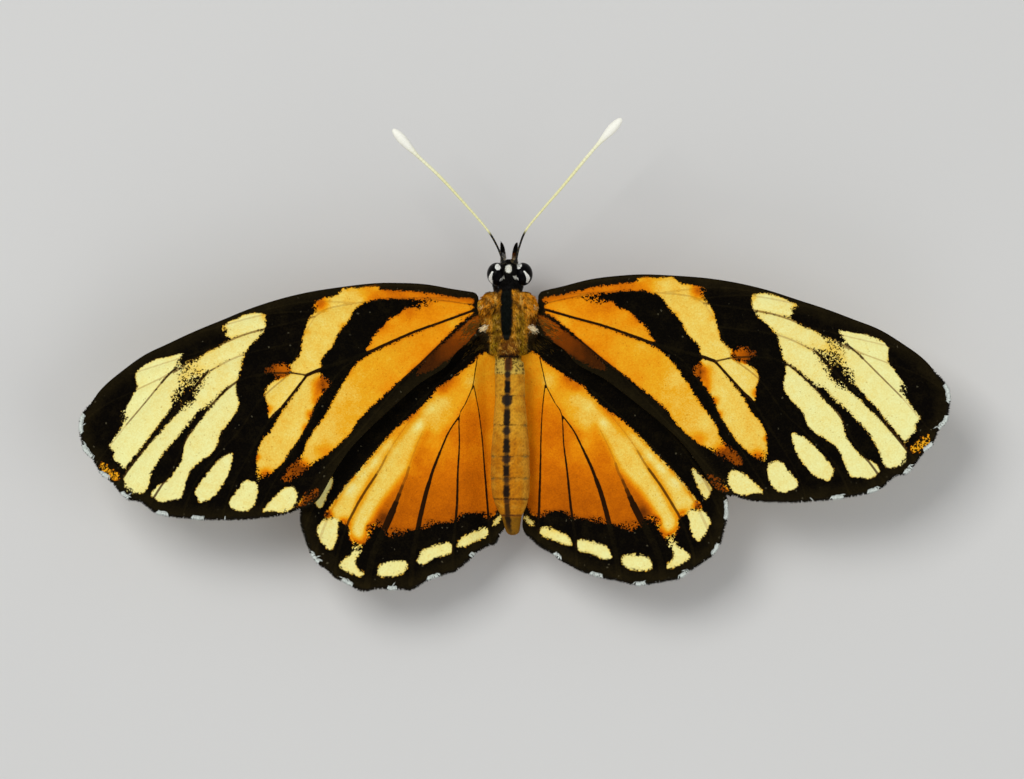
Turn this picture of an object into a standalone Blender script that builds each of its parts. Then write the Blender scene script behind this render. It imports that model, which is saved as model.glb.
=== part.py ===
"""A variable crescent butterfly at life size: wings spread flat, standing on its four walking legs.

Sizes are written in millimetres and multiplied by MM where they reach Blender, which works in metres.
+X is the insect's right, +Y its front and +Z up. A plan place is (outward, forward), measured from the
midpoint between the two forewing hinges, and a height is measured from the floor. The whole insect hangs
on one empty, which brings the middle of its bounding box over the origin.
"""

import math

import bmesh
import bpy
from mathutils import Matrix, Vector
from mathutils.geometry import delaunay_2d_cdt

MM = 0.001
SPECIES = "variable_crescent"
PLAN_SHIFT = (-0.45, 3.55)

# Gaps and thicknesses
GAP = 0.25
MEMBRANE = 0.5
RIDGE_RISE = 0.13
RIDGE_HALF_WIDTH = 0.3
TUBE_BEVEL = 2
VEIN_STEP = 1.5
MARGIN_STEP = 1.1
FILL_STEP = 1.9

# Heights over the floor
BODY_AXIS = 0.07
HEAD_AXIS = 0.13
FOREWING_ROOT_Z = 5.85
HINDWING_BELOW = 1.05
WING_RISE = 0.085
WING_DROOP = 0.0014
ANAL_FOLD_DROP = 0.7
ANAL_FOLD_FROM = 1.3
ANAL_FOLD_WIDTH = 1.9
WING_BASE_FACE = 1.8

# The left wings are held a little further back than the right ones.
FOREWING_HINGE = (2.4, 0.0)
FOREWING_HINGE_LEFT = (2.3, -0.07)
FOREWING_SWEEP_LEFT = math.radians(4.3)
HINDWING_HINGE = (1.9, -2.8)
HINDWING_HINGE_LEFT = (1.89, -2.83)
HINDWING_SWEEP_LEFT = math.radians(3.5)
LEFT_REACH = 0.99
TUCK_FROM = 0.5
TUCK_FRONT = 0.75
TUCK_REAR = 1.12
TUCK_REAR_AT = (-6.0, -12.0)
TUCK_END = 1.9

# Forewing outline: costa from the root to the apex, outer margin to the tornus, inner margin back
FOREWING_OUTLINE = (
    (2.07, 0.95), (4.0, 1.45), (6.0, 1.95), (8.0, 2.2), (10.0, 2.3), (13.0, 2.15), (17.0, 1.6), (21.0, 0.45),
    (25.0, -0.95), (29.0, -3.0), (31.0, -4.7), (32.0, -5.9), (32.05, -7.6), (31.3, -9.1), (30.8, -10.2),
    (29.3, -11.8), (26.7, -13.4), (24.1, -14.05), (21.5, -14.3), (17.5, -14.2), (15.9, -13.8), (13.7, -11.3),
    (11.0, -8.4), (7.0, -5.3), (4.0, -3.0), (2.07, -1.9),
)

# Hindwing outline: costa hidden under the forewing, scalloped outer margin, inner margin just under the
# abdomen's side
HINDWING_OUTLINE = (
    (2.07, -2.1), (4.5, -2.6), (8.0, -4.4), (11.5, -7.2), (14.3, -10.4), (15.8, -13.3), (16.1, -14.8),
    (15.5, -17.3), (13.9, -18.9), (12.5, -19.9), (10.3, -20.3), (8.1, -20.1), (5.9, -19.6), (3.8, -18.6),
    (2.3, -17.6), (1.5, -16.9), (1.3, -15.5), (1.35, -12.0), (1.22, -9.9), (1.0, -7.8), (0.97, -5.6),
    (1.3, -4.4), (2.07, -3.95),
)

# Main veins, each from its root outwards
FOREWING_VEINS = (
    ((2.6, 0.85), (7.0, 1.6), (12.0, 1.8), (15.0, 1.6)),
    ((2.6, 0.35), (5.0, 0.8), (9.0, 0.95), (13.0, 0.7), (14.2, 0.2), (18.0, -0.35), (20.2, -0.9), (23.0, -2.1),
     (24.7, -3.1), (27.0, -5.1), (28.5, -6.6), (30.6, -9.0)),
    ((13.0, 0.7), (17.5, 0.85), (22.0, -0.3)),
    ((24.7, -3.1), (27.3, -4.4), (29.8, -5.3), (31.4, -6.4)),
    ((14.2, 0.2), (15.3, -1.5), (16.2, -3.75), (15.0, -4.0)),
    ((15.3, -1.5), (19.5, -2.1), (22.3, -3.3), (24.2, -5.3), (26.0, -7.0), (28.0, -9.3), (29.3, -11.0)),
    ((16.2, -3.75), (18.1, -3.7), (20.0, -4.1), (22.0, -5.7), (24.0, -7.9), (25.2, -10.1), (26.9, -12.6)),
    ((16.2, -3.75), (18.3, -5.4), (19.9, -7.6), (21.5, -9.1), (23.3, -10.9), (24.6, -13.3)),
    ((2.6, -0.2), (5.0, -0.9), (7.0, -1.45), (10.5, -2.7), (14.0, -3.65), (15.0, -4.0), (17.0, -6.2),
     (19.3, -9.4), (20.5, -11.3), (21.5, -13.7)),
    ((10.5, -2.7), (12.6, -3.9), (14.2, -6.0), (15.8, -8.8), (17.2, -10.9), (18.8, -13.6)),
    ((2.6, -1.0), (5.0, -2.6), (7.0, -4.3), (9.5, -6.3), (12.0, -8.9), (14.5, -11.6), (15.6, -13.0)),
)
HINDWING_VEINS = (
    ((2.6, -2.8), (5.0, -3.7), (8.5, -6.0), (11.5, -8.9), (14.0, -12.2), (15.4, -15.2)),
    ((2.6, -3.3), (5.5, -5.6), (7.7, -7.5), (10.5, -10.2), (13.0, -13.3), (14.6, -16.4), (14.8, -17.4)),
    ((6.0, -6.1), (7.7, -8.2), (8.8, -9.6), (10.0, -11.5), (12.0, -14.5), (13.3, -17.4), (13.5, -18.5)),
    ((2.8, -5.8), (5.5, -7.0), (6.7, -9.0), (8.0, -12.0), (9.1, -14.4), (10.8, -17.7), (11.3, -19.5)),
    ((4.0, -8.0), (4.8, -9.1), (6.1, -11.8), (7.1, -14.8), (7.8, -17.8), (8.1, -19.4)),
    ((2.5, -4.1), (2.55, -4.8), (2.8, -5.8), (4.0, -8.0), (4.3, -12.0), (4.7, -15.2), (5.0, -18.5)),
    ((2.8, -5.8), (2.5, -7.5), (2.4, -9.5), (2.3, -12.0), (2.15, -15.0), (2.15, -16.8)),
)

# Trunk: centre (outward, forward, height) and half sizes of each rounded mass
HEAD_MASSES = (
    ((HEAD_AXIS, 2.42, 5.75), (1.02, 1.02, 1.1)),
    ((HEAD_AXIS, 1.75, 5.7), (1.12, 0.55, 0.95)),
    ((HEAD_AXIS, 2.9, 5.25), (0.72, 0.62, 0.75)),
)
HEAD_BACK = 1.32
EYE_OUT = 0.94
EYE_PLACE = (2.32, 5.82)
EYE_HALF = (0.74, 0.86, 0.98)
EYE_INNER_FACE = 0.78
THORAX_MASSES = (
    ((0.0, 0.55, 5.6), (1.08, 0.95, 1.2)),
    ((0.0, -0.75, 5.5), (1.55, 1.9, 1.82)),
    ((0.0, -2.75, 5.35), (1.35, 1.45, 1.5)),
)
WING_BASES = (
    ((1.2, -0.45, 5.95), (0.9, 1.65, 0.55)),
    ((1.15, -2.9, 5.0), (0.95, 1.05, 0.55)),
)
TEGULA = ((1.55, 0.03, 6.96), (0.68, 0.86, 0.31))
COXAE = (
    ((0.62, 0.75, 4.1), (0.4, 0.45, 1.0)),
    ((0.85, -0.75, 4.0), (0.5, 0.6, 1.0)),
    ((0.8, -2.45, 3.9), (0.5, 0.6, 0.9)),
)
THORAX_FRONT = 1.07
COXA_END_Z = 3.25
WAIST = -3.75

# Abdomen: (forward, half width) along its length, with a shallow groove at each joint
ABDOMEN_PROFILE = (
    (-4.0, 1.12), (-4.9, 1.16), (-5.8, 1.13), (-6.6, 1.12), (-7.7, 1.2), (-8.7, 1.28), (-9.9, 1.38),
    (-11.0, 1.44), (-11.8, 1.46), (-12.5, 1.45), (-13.3, 1.42), (-14.0, 1.33), (-14.6, 1.15), (-15.1, 0.93),
    (-15.9, 0.66), (-16.4, 0.46), (-16.62, 0.2), (-16.66, 0.0),
)
ABDOMEN_JOINTS = (-4.9, -6.6, -8.7, -11.0, -12.5, -14.0, -15.1)
ABDOMEN_GROOVE = 0.06
ABDOMEN_GROOVE_HALF = 0.16
ABDOMEN_FRONT_Z = 5.5
ABDOMEN_TIP_Z = 5.1
ABDOMEN_DEPTH = 0.94
ABDOMEN_SIDES = 20

# Feelers: (outward, forward, height), from the socket between the eyes to the tip of the club
ANTENNA_RIGHT = (
    (0.52, 3.1, 6.72), (0.63, 3.5, 6.95), (0.82, 4.3, 7.2), (1.32, 5.5, 7.55), (2.54, 7.0, 8.05),
    (3.99, 8.66, 8.6), (6.21, 11.32, 9.35), (8.19, 13.49, 9.85),
)
ANTENNA_LEFT = (
    (-0.3, 3.1, 6.72), (-0.45, 3.5, 6.95), (-0.8, 4.35, 7.2), (-1.45, 5.44, 7.55), (-2.78, 7.0, 8.0),
    (-4.89, 9.21, 8.75), (-6.61, 10.88, 9.3), (-8.16, 12.83, 9.75),
)
ANTENNA_RADIUS = 0.25
CLUB_RADIUS = 0.35
CLUB_LENGTH = 2.3
PALP_RIGHT = (
    (0.52, 3.08, 4.42), (0.5, 3.25, 4.3), (0.49, 3.5, 4.28), (0.52, 3.9, 4.6), (0.58, 4.33, 5.15),
    (0.64, 4.66, 5.65),
)
PALP_RADII = (0.24, 0.26, 0.28, 0.27, 0.22, 0.1)
PROBOSCIS_CENTRE = (2.5, 3.4)
PROBOSCIS_TURNS = 0.98
PROBOSCIS_START = math.radians(75)
PROBOSCIS_OUTER = 0.68
PROBOSCIS_INNER = 0.24
PROBOSCIS_RADIUS = 0.2

# Right legs: (outward, forward, height, radius) from the coxa to the last tarsal joint
LEG_FORE = (
    (0.62, 0.75, 2.98, 0.27), (0.78, 1.0, 2.72, 0.3), (0.95, 1.6, 2.85, 0.3), (0.98, 2.25, 3.3, 0.28),
    (0.92, 2.75, 3.85, 0.2),
)
LEG_MID = (
    (0.95, -0.75, 2.98, 0.3), (1.15, -0.7, 2.75, 0.34), (1.6, -0.6, 2.85, 0.36), (2.8, -0.35, 3.75, 0.36),
    (3.95, -0.1, 4.4, 0.34), (4.45, 0.0, 4.4, 0.32), (4.95, 0.1, 3.95, 0.3), (5.95, 0.4, 1.95, 0.28),
    (6.65, 0.6, 0.55, 0.28), (6.95, 0.68, 0.2, 0.3), (7.5, 0.8, 0.18, 0.3), (9.1, 1.2, 0.18, 0.29),
    (9.6, 1.35, 0.2, 0.27),
)
LEG_HIND = (
    (0.85, -2.45, 2.98, 0.3), (1.05, -2.6, 2.72, 0.34), (1.45, -3.0, 2.7, 0.36), (2.4, -4.4, 3.3, 0.36),
    (3.3, -6.0, 3.75, 0.34), (3.6, -6.6, 3.75, 0.32), (3.85, -7.1, 3.4, 0.3), (4.6, -8.6, 1.8, 0.28),
    (5.15, -9.8, 0.55, 0.28), (5.3, -10.1, 0.2, 0.3), (5.5, -10.6, 0.18, 0.3), (6.1, -12.4, 0.18, 0.29),
    (6.25, -12.9, 0.2, 0.27),
)

# Colour, roughness
FINISHES = {
    "wing": ((0.75, 0.32, 0.03, 1.0), 0.6),
    "body": ((0.32, 0.17, 0.05, 1.0), 0.7),
    "head": ((0.02, 0.018, 0.015, 1.0), 0.5),
    "eye": ((0.012, 0.01, 0.01, 1.0), 0.12),
    "antenna": ((0.55, 0.5, 0.35, 1.0), 0.5),
    "leg": ((0.3, 0.2, 0.1, 1.0), 0.5),
}


def clear_scene():
    for obj in list(bpy.data.objects):
        bpy.data.objects.remove(obj)


def new_collection(name, parent):
    made = bpy.data.collections.new(name)
    parent.children.link(made)
    return made


def finish(name):
    """The Principled material of this name, made the first time that it is asked for."""
    if name in bpy.data.materials:
        return bpy.data.materials[name]
    colour, roughness = FINISHES[name]
    made = bpy.data.materials.new(name)
    made.use_nodes = True
    shader = made.node_tree.nodes["Principled BSDF"]
    shader.inputs["Base Color"].default_value = colour
    shader.inputs["Roughness"].default_value = roughness
    shader.inputs["Metallic"].default_value = 0.0
    return made


def smooth_path(points, step):
    """Points about step apart on a Catmull-Rom curve through the given ones, both ends kept."""
    points = [Vector(p) for p in points]
    ends = [2 * points[0] - points[1]] + points + [2 * points[-1] - points[-2]]
    made = []
    for before, start, end, after in zip(ends, ends[1:], ends[2:], ends[3:]):
        count = max(1, round((end - start).length / step))
        for i in range(count):
            t = i / count
            made.append(
                0.5 * (2 * start + (end - before) * t + (2 * before - 5 * start + 4 * end - after) * t * t
                       + (3 * start - before - 3 * end + after) * t ** 3)
            )
    return made + [points[-1]]


def mesh_object(name, collection, bm):
    mesh = bpy.data.meshes.new(name)
    bm.to_mesh(mesh)
    bm.free()
    obj = bpy.data.objects.new(name, mesh)
    collection.objects.link(obj)
    return obj


def evaluated_mesh(obj):
    bpy.context.view_layer.update()
    graph = bpy.context.evaluated_depsgraph_get()
    return bpy.data.meshes.new_from_object(obj.evaluated_get(graph))


def ellipsoid(name, collection, centre, half, segments=20, rings=12):
    bm = bmesh.new()
    shape = Matrix.Translation(Vector(centre) * MM) @ Matrix.Diagonal((*[h * MM for h in half], 1.0))
    bmesh.ops.create_uvsphere(bm, u_segments=segments, v_segments=rings, radius=1.0, matrix=shape)
    return mesh_object(name, collection, bm)


def tube(points, radii, step, collection):
    """A smooth tube through the points, with filled caps, as a closed bmesh."""
    path = smooth_path([(*p, r) for p, r in zip(points, radii)], step)
    curve = bpy.data.curves.new("path", "CURVE")
    curve.dimensions = "3D"
    curve.bevel_depth = MM
    curve.bevel_resolution = TUBE_BEVEL
    curve.use_fill_caps = True
    spline = curve.splines.new("POLY")
    spline.points.add(len(path) - 1)
    for point, place in zip(spline.points, path):
        point.co = (place[0] * MM, place[1] * MM, place[2] * MM, 1.0)
        point.radius = place[3]
    guide = bpy.data.objects.new("path", curve)
    collection.objects.link(guide)
    bm = bmesh.new()
    bm.from_mesh(evaluated_mesh(guide))
    bmesh.ops.remove_doubles(bm, verts=bm.verts, dist=1e-7)
    bpy.data.objects.remove(guide)
    return bm


def cut_flat(bm, place, normal):
    """Takes away what lies beyond the plane and closes the cut with a flat face."""
    bmesh.ops.bisect_plane(
        bm, geom=bm.verts[:] + bm.edges[:] + bm.faces[:], dist=1e-8,
        plane_co=Vector(place) * MM, plane_no=Vector(normal), clear_outer=True,
    )
    bmesh.ops.holes_fill(bm, edges=[e for e in bm.edges if e.is_boundary])


def keep_largest(bm):
    """Leaves only the largest closed surface."""
    left = set(bm.verts)
    pieces = []
    while left:
        found = [left.pop()]
        piece = set(found)
        while found:
            for edge in found.pop().link_edges:
                for vert in edge.verts:
                    if vert in left:
                        left.remove(vert)
                        piece.add(vert)
                        found.append(vert)
        pieces.append(piece)
    pieces.sort(key=len)
    bmesh.ops.delete(bm, geom=[v for piece in pieces[:-1] for v in piece], context="VERTS")


def fused(pieces, scene_collection):
    """One closed bmesh from the union of closed pieces, which are removed."""
    first, *others = pieces
    group = new_collection("to_fuse", scene_collection)
    for obj in others:
        for user in obj.users_collection:
            user.objects.unlink(obj)
        group.objects.link(obj)
    union = first.modifiers.new("union", "BOOLEAN")
    union.operation = "UNION"
    union.solver = "EXACT"
    union.operand_type = "COLLECTION"
    union.collection = group
    bm = bmesh.new()
    bm.from_mesh(evaluated_mesh(first))
    for obj in pieces:
        bpy.data.objects.remove(obj)
    bpy.data.collections.remove(group)
    bmesh.ops.remove_doubles(bm, verts=bm.verts, dist=2e-6)
    keep_largest(bm)
    return bm


def cut_by(bm, cutter, scene_collection):
    """The bmesh less a closed cutter object, which is removed."""
    body = mesh_object("being_cut", scene_collection, bm)
    cut = body.modifiers.new("cut", "BOOLEAN")
    cut.operation = "DIFFERENCE"
    cut.solver = "EXACT"
    cut.object = cutter
    made = bmesh.new()
    made.from_mesh(evaluated_mesh(body))
    bpy.data.objects.remove(body)
    bpy.data.objects.remove(cutter)
    bmesh.ops.remove_doubles(made, verts=made.verts, dist=2e-6)
    keep_largest(made)
    return made


def placed(name, bm, finish_name, parts, root, smooth_angle=math.radians(50)):
    """The finished sub-part in the model's collection, hung on the root empty."""
    obj = mesh_object(name, parts, bm)
    obj.data.materials.append(finish(finish_name))
    obj.data.shade_smooth()
    obj.data.set_sharp_from_angle(angle=smooth_angle)
    obj.parent = root
    return obj


def wing_height(place, below):
    """Height of a wing's middle surface: a slight rise from the body, easing off towards the tip."""
    out = abs(place[0])
    height = FOREWING_ROOT_Z + WING_RISE * out - WING_DROOP * out * out
    if not below:
        return height
    share = min(1.0, max(0.0, (out - ANAL_FOLD_FROM) / ANAL_FOLD_WIDTH))
    behind = min(1.0, max(0.0, (-3.0 - place[1]) / 2.5))
    fold = ANAL_FOLD_DROP * (1.0 - share * share * (3.0 - 2.0 * share)) * behind
    return height - HINDWING_BELOW - fold


def swept_left(place, hinge, left_hinge, sweep):
    """The left wing's place that answers to a place on the right wing, crowded up beside the abdomen."""
    out, forward = LEFT_REACH * (place[0] - hinge[0]), LEFT_REACH * (place[1] - hinge[1])
    cos, sin = math.cos(sweep), math.sin(sweep)
    reach = left_hinge[0] + out * cos + forward * sin
    ahead = left_hinge[1] - out * sin + forward * cos
    if reach < TUCK_END:
        share = (ahead - TUCK_REAR_AT[0]) / (TUCK_REAR_AT[1] - TUCK_REAR_AT[0])
        tuck = TUCK_FRONT + (TUCK_REAR - TUCK_FRONT) * min(1.0, max(0.0, share))
        reach = tuck + (reach - TUCK_FROM) * (TUCK_END - tuck) / (TUCK_END - TUCK_FROM)
    return Vector((-reach, ahead))


def beside(path, distance):
    """The path moved sideways, its ends drawn in by the same distance."""
    made = []
    for i, place in enumerate(path):
        along = (path[min(i + 1, len(path) - 1)] - path[max(i - 1, 0)]).normalized()
        made.append(place + distance * Vector((-along.y, along.x)))
    return made


def distance_to(place, paths):
    """Distance from a place to the nearest of the paths."""
    best = 1e9
    for path in paths:
        for start, end in zip(path, path[1:]):
            run = end - start
            t = max(0.0, min(1.0, (place - start).dot(run) / run.length_squared))
            best = min(best, (place - start - t * run).length)
    return best


def wing(name, outline, veins, left, below, parts, root):
    """A wing as one closed sheet: flat membrane, with each main vein raised on it as a ridge."""
    hinges = (HINDWING_HINGE, HINDWING_HINGE_LEFT, HINDWING_SWEEP_LEFT) if below else (
        FOREWING_HINGE, FOREWING_HINGE_LEFT, FOREWING_SWEEP_LEFT)
    margin = smooth_path(outline, MARGIN_STEP)
    lines = [smooth_path(vein, VEIN_STEP) for vein in veins]
    sides = [beside(line, way * RIDGE_HALF_WIDTH) for line in lines for way in (1, -1)]
    places = list(margin)
    edges = [(i, (i + 1) % len(margin)) for i in range(len(margin))]
    for line in lines:
        edges += [(len(places) + i, len(places) + i + 1) for i in range(len(line) - 1)]
        places += line
    fixed = [margin + margin[:1]] + lines
    for side in sides:
        places += [p for p in side if distance_to(p, lines) > 0.9 * RIDGE_HALF_WIDTH
                   and distance_to(p, fixed[:1]) > 0.5 * RIDGE_HALF_WIDTH]
    low = Vector((min(p.x for p in margin), min(p.y for p in margin)))
    high = Vector((max(p.x for p in margin), max(p.y for p in margin)))
    for row in range(1, int((high.y - low.y) / FILL_STEP) + 1):
        for column in range(int((high.x - low.x) / FILL_STEP) + 2):
            place = low + FILL_STEP * Vector((column - 0.5 * (row % 2), row))
            if distance_to(place, fixed) > 0.45 * FILL_STEP:
                places.append(place)
    found = delaunay_2d_cdt(places, edges, [list(range(len(margin)))], 1, 1e-4)
    thickest = MEMBRANE + 2 * RIDGE_RISE
    bm = bmesh.new()
    rise = bm.verts.layers.deform.verify()
    corners = []
    for place in found[0]:
        ridge = max(0.0, 1.0 - distance_to(place, lines) / RIDGE_HALF_WIDTH)
        ridge *= min(1.0, distance_to(place, fixed[:1]) / RIDGE_HALF_WIDTH)
        flat = swept_left(place, *hinges) if left else place
        vert = bm.verts.new((flat.x * MM, flat.y * MM, wing_height(flat, below) * MM))
        vert[rise][0] = (MEMBRANE + 2 * RIDGE_RISE * ridge) / thickest
        corners.append(vert)
    for face in found[2]:
        bm.faces.new([corners[i] for i in (face[::-1] if left else face)])
    bmesh.ops.delete(bm, geom=[v for v in bm.verts if not v.link_faces], context="VERTS")
    obj = placed(name, bm, "wing", parts, root)
    group = obj.vertex_groups.new(name="thickness")
    solid = obj.modifiers.new("thickness", "SOLIDIFY")
    solid.thickness = thickest * MM
    solid.offset = 0.0
    solid.vertex_group = group.name
    return obj


def head_and_eyes(scene_collection, parts, root):
    """The head, hollowed at each side for an eye, which is a domed cap set in with a gap."""
    pieces = [ellipsoid("head_mass", scene_collection, *mass) for mass in HEAD_MASSES]
    bm = fused(pieces, scene_collection)
    cut_flat(bm, (0, HEAD_BACK, 0), (0, -1, 0))
    for side, name in ((1, "eye_right"), (-1, "eye_left")):
        centre = (HEAD_AXIS + side * EYE_OUT, *EYE_PLACE)
        socket = ellipsoid("eye_socket", scene_collection, centre, [h + GAP for h in EYE_HALF])
        hollow = bmesh.new()
        hollow.from_mesh(socket.data)
        bpy.data.objects.remove(socket)
        cut_flat(hollow, (HEAD_AXIS + side * (EYE_INNER_FACE - GAP), 0, 0), (-side, 0, 0))
        bm = cut_by(bm, mesh_object("eye_socket", scene_collection, hollow), scene_collection)
        whole = ellipsoid(name + "_whole", scene_collection, centre, EYE_HALF, 20, 14)
        eye = bmesh.new()
        eye.from_mesh(whole.data)
        bpy.data.objects.remove(whole)
        cut_flat(eye, (HEAD_AXIS + side * EYE_INNER_FACE, 0, 0), (-side, 0, 0))
        placed(name, eye, "eye", parts, root)
    placed("head", bm, "head", parts, root)


def thorax(scene_collection, parts, root):
    """The thorax with its wing bases, the scales over the wing hinges, and the three pairs of coxae."""
    pieces = [ellipsoid("thorax_mass", scene_collection, *mass, 20, 12) for mass in THORAX_MASSES]
    for (out, forward, height), half in (*WING_BASES, TEGULA, *COXAE):
        for side in (1, -1):
            centre = (side * out, forward, height)
            pieces.append(ellipsoid("thorax_side", scene_collection, centre, half, 12, 7))
            if half[0] + out > WING_BASE_FACE and height < TEGULA[0][2]:
                whole = bmesh.new()
                whole.from_mesh(pieces[-1].data)
                cut_flat(whole, (side * WING_BASE_FACE, 0, 0), (side, 0, 0))
                whole.to_mesh(pieces[-1].data)
                whole.free()
    bm = fused(pieces, scene_collection)
    cut_flat(bm, (0, THORAX_FRONT, 0), (0, 1, 0))
    cut_flat(bm, (0, WAIST, 0), (0, -1, 0))
    cut_flat(bm, (0, 0, COXA_END_Z), (0, 0, -1))
    placed("thorax", bm, "body", parts, root)


def abdomen(scene_collection, parts, root):
    """A turned abdomen, grooved at its joints, a little lower than wide, drooping towards the tip."""
    curve = smooth_path(ABDOMEN_PROFILE, 0.3)
    outline = []
    for forward, radius in curve:
        nearest = min(abs(forward - joint) for joint in ABDOMEN_JOINTS)
        outline.append((forward, radius - ABDOMEN_GROOVE * max(0.0, 1.0 - nearest / ABDOMEN_GROOVE_HALF)))
    outline[0:0] = [(outline[0][0], 0.0)]
    bm = bmesh.new()
    verts = [bm.verts.new((max(0.0, radius) * MM, 0.0, forward * MM)) for forward, radius in outline]
    for start, end in zip(verts, verts[1:]):
        bm.edges.new((start, end))
    profile = mesh_object("abdomen_profile", scene_collection, bm)
    turn = profile.modifiers.new("turn", "SCREW")
    turn.steps = ABDOMEN_SIDES
    turn.render_steps = ABDOMEN_SIDES
    turn.use_merge_vertices = True
    turn.merge_threshold = 1e-6
    turn.use_normal_calculate = True
    bm = bmesh.new()
    bm.from_mesh(evaluated_mesh(profile))
    bpy.data.objects.remove(profile)
    bmesh.ops.remove_doubles(bm, verts=bm.verts, dist=1e-7)
    length = ABDOMEN_PROFILE[0][0] - ABDOMEN_PROFILE[-1][0]
    for vert in bm.verts:
        across, up, forward = vert.co
        share = (ABDOMEN_PROFILE[0][0] * MM - forward) / (length * MM)
        centre = ABDOMEN_FRONT_Z + (ABDOMEN_TIP_Z - ABDOMEN_FRONT_Z) * share ** 1.6
        vert.co = (across, forward, centre * MM + ABDOMEN_DEPTH * up)
    bmesh.ops.recalc_face_normals(bm, faces=bm.faces)
    placed("abdomen", bm, "body", parts, root)


def mirrored(points):
    """The same points on the body's other side."""
    return [(2 * BODY_AXIS - p[0], *p[1:]) for p in points]


def feelers(parts, root):
    """The two clubbed antennae and, between the eyes and the coiled proboscis, the two palps."""
    for name, points in (("antenna_right", ANTENNA_RIGHT), ("antenna_left", ANTENNA_LEFT)):
        path = smooth_path(points, 0.9)
        left = sum((b - a).length for a, b in zip(path, path[1:]))
        radii = []
        for here, after in zip(path, path[1:] + path[-1:]):
            share = min(1.0, left / CLUB_LENGTH)
            club = CLUB_RADIUS if share < 0.75 else CLUB_RADIUS + (ANTENNA_RADIUS - CLUB_RADIUS) * (share - 0.75) / 0.25
            radii.append(club if left > 0.35 else 0.2)
            left -= (after - here).length
        placed(name, tube(path, radii, 0.9, parts), "antenna", parts, root)
    for name, points in (("palp_right", PALP_RIGHT), ("palp_left", mirrored(PALP_RIGHT))):
        placed(name, tube(points, PALP_RADII, 0.3, parts), "head", parts, root)


def proboscis(parts, root):
    """The sucking tube, coiled like a watch spring under the head."""
    forward, height = PROBOSCIS_CENTRE
    steps = 22
    points = []
    for i in range(steps + 1):
        share = i / steps
        angle = PROBOSCIS_START - share * PROBOSCIS_TURNS * 2 * math.pi
        radius = PROBOSCIS_OUTER + (PROBOSCIS_INNER - PROBOSCIS_OUTER) * share
        points.append((BODY_AXIS, forward + radius * math.cos(angle), height + radius * math.sin(angle)))
    placed("proboscis", tube(points, [PROBOSCIS_RADIUS] * len(points), 0.5, parts), "head", parts, root)


def legs(parts, root):
    """Six legs: a folded, brush-like front pair, and two walking pairs whose feet have flats on the floor."""
    for name, points in (("leg_fore", LEG_FORE), ("leg_mid", LEG_MID), ("leg_hind", LEG_HIND)):
        for side, path in (("right", points), ("left", [(-p[0], *p[1:]) for p in points])):
            bm = tube([p[:3] for p in path], [p[3] for p in path], 0.6, parts)
            cut_flat(bm, (0, 0, 0), (0, 0, -1))
            placed(f"{name}_{side}", bm, "leg", parts, root)


def main():
    clear_scene()
    scene_collection = bpy.context.scene.collection
    parts = new_collection(SPECIES, scene_collection)
    root = bpy.data.objects.new(SPECIES + "_root", None)
    root.location = (PLAN_SHIFT[0] * MM, PLAN_SHIFT[1] * MM, 0.0)
    parts.objects.link(root)
    thorax(scene_collection, parts, root)
    abdomen(scene_collection, parts, root)
    head_and_eyes(scene_collection, parts, root)
    feelers(parts, root)
    proboscis(parts, root)
    legs(parts, root)
    for side in ("right", "left"):
        left = side == "left"
        wing(f"forewing_{side}", FOREWING_OUTLINE, FOREWING_VEINS, left, False, parts, root)
        wing(f"hindwing_{side}", HINDWING_OUTLINE, HINDWING_VEINS, left, True, parts, root)


main()
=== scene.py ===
"""Looks of a still, life-size crescent butterfly with spread wings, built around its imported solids.

Plan places are (outward, forward) in mm from the middle between the forewing hinges.
Heights are mm above the floor. Colours are the 0 to 255 of a screen.
"""
import math

import bmesh
import bpy
import numpy as np
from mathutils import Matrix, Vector, kdtree
from mathutils.bvhtree import BVHTree
from mathutils.geometry import delaunay_2d_cdt


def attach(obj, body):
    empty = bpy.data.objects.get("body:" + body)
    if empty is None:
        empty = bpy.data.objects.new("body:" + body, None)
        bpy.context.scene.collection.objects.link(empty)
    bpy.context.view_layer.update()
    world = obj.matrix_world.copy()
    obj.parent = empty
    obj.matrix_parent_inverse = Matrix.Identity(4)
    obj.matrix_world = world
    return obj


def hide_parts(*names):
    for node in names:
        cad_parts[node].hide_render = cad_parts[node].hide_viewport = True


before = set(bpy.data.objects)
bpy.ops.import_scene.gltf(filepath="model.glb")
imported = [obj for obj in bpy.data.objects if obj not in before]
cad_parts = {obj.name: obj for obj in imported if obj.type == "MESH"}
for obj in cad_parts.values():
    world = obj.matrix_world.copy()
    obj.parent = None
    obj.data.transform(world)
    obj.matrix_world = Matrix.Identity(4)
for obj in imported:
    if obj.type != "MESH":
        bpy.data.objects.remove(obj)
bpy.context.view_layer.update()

# Frame shared with the solids
MM = 0.001
PLAN_SHIFT = (-0.45, 3.55)
BODY_AXIS = 0.07
HEAD_AXIS = 0.13
FOREWING_ROOT_Z = 5.85
HINDWING_BELOW = 1.05
WING_RISE = 0.085
WING_DROOP = 0.0014
ANAL_FOLD_DROP = 0.7
ANAL_FOLD_FROM = 1.3
ANAL_FOLD_WIDTH = 1.9
TUCK_FROM = 0.5
TUCK_FRONT = 0.62
TUCK_REAR = 0.68
TUCK_REAR_AT = (-6.0, -12.0)
TUCK_END = 1.9
LEFT_REACH = 0.99
SIDES = ((1, "right"), (-1, "left"))

# Camera, straight above as in the photo
FRAME_WIDTH = 74.24
CAMERA_MIDDLE = (-0.16, -2.5)
CAMERA_HEIGHT = 600.0
WING_LEVEL = 6.6
SENSOR_WIDTH = 36.0
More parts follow.
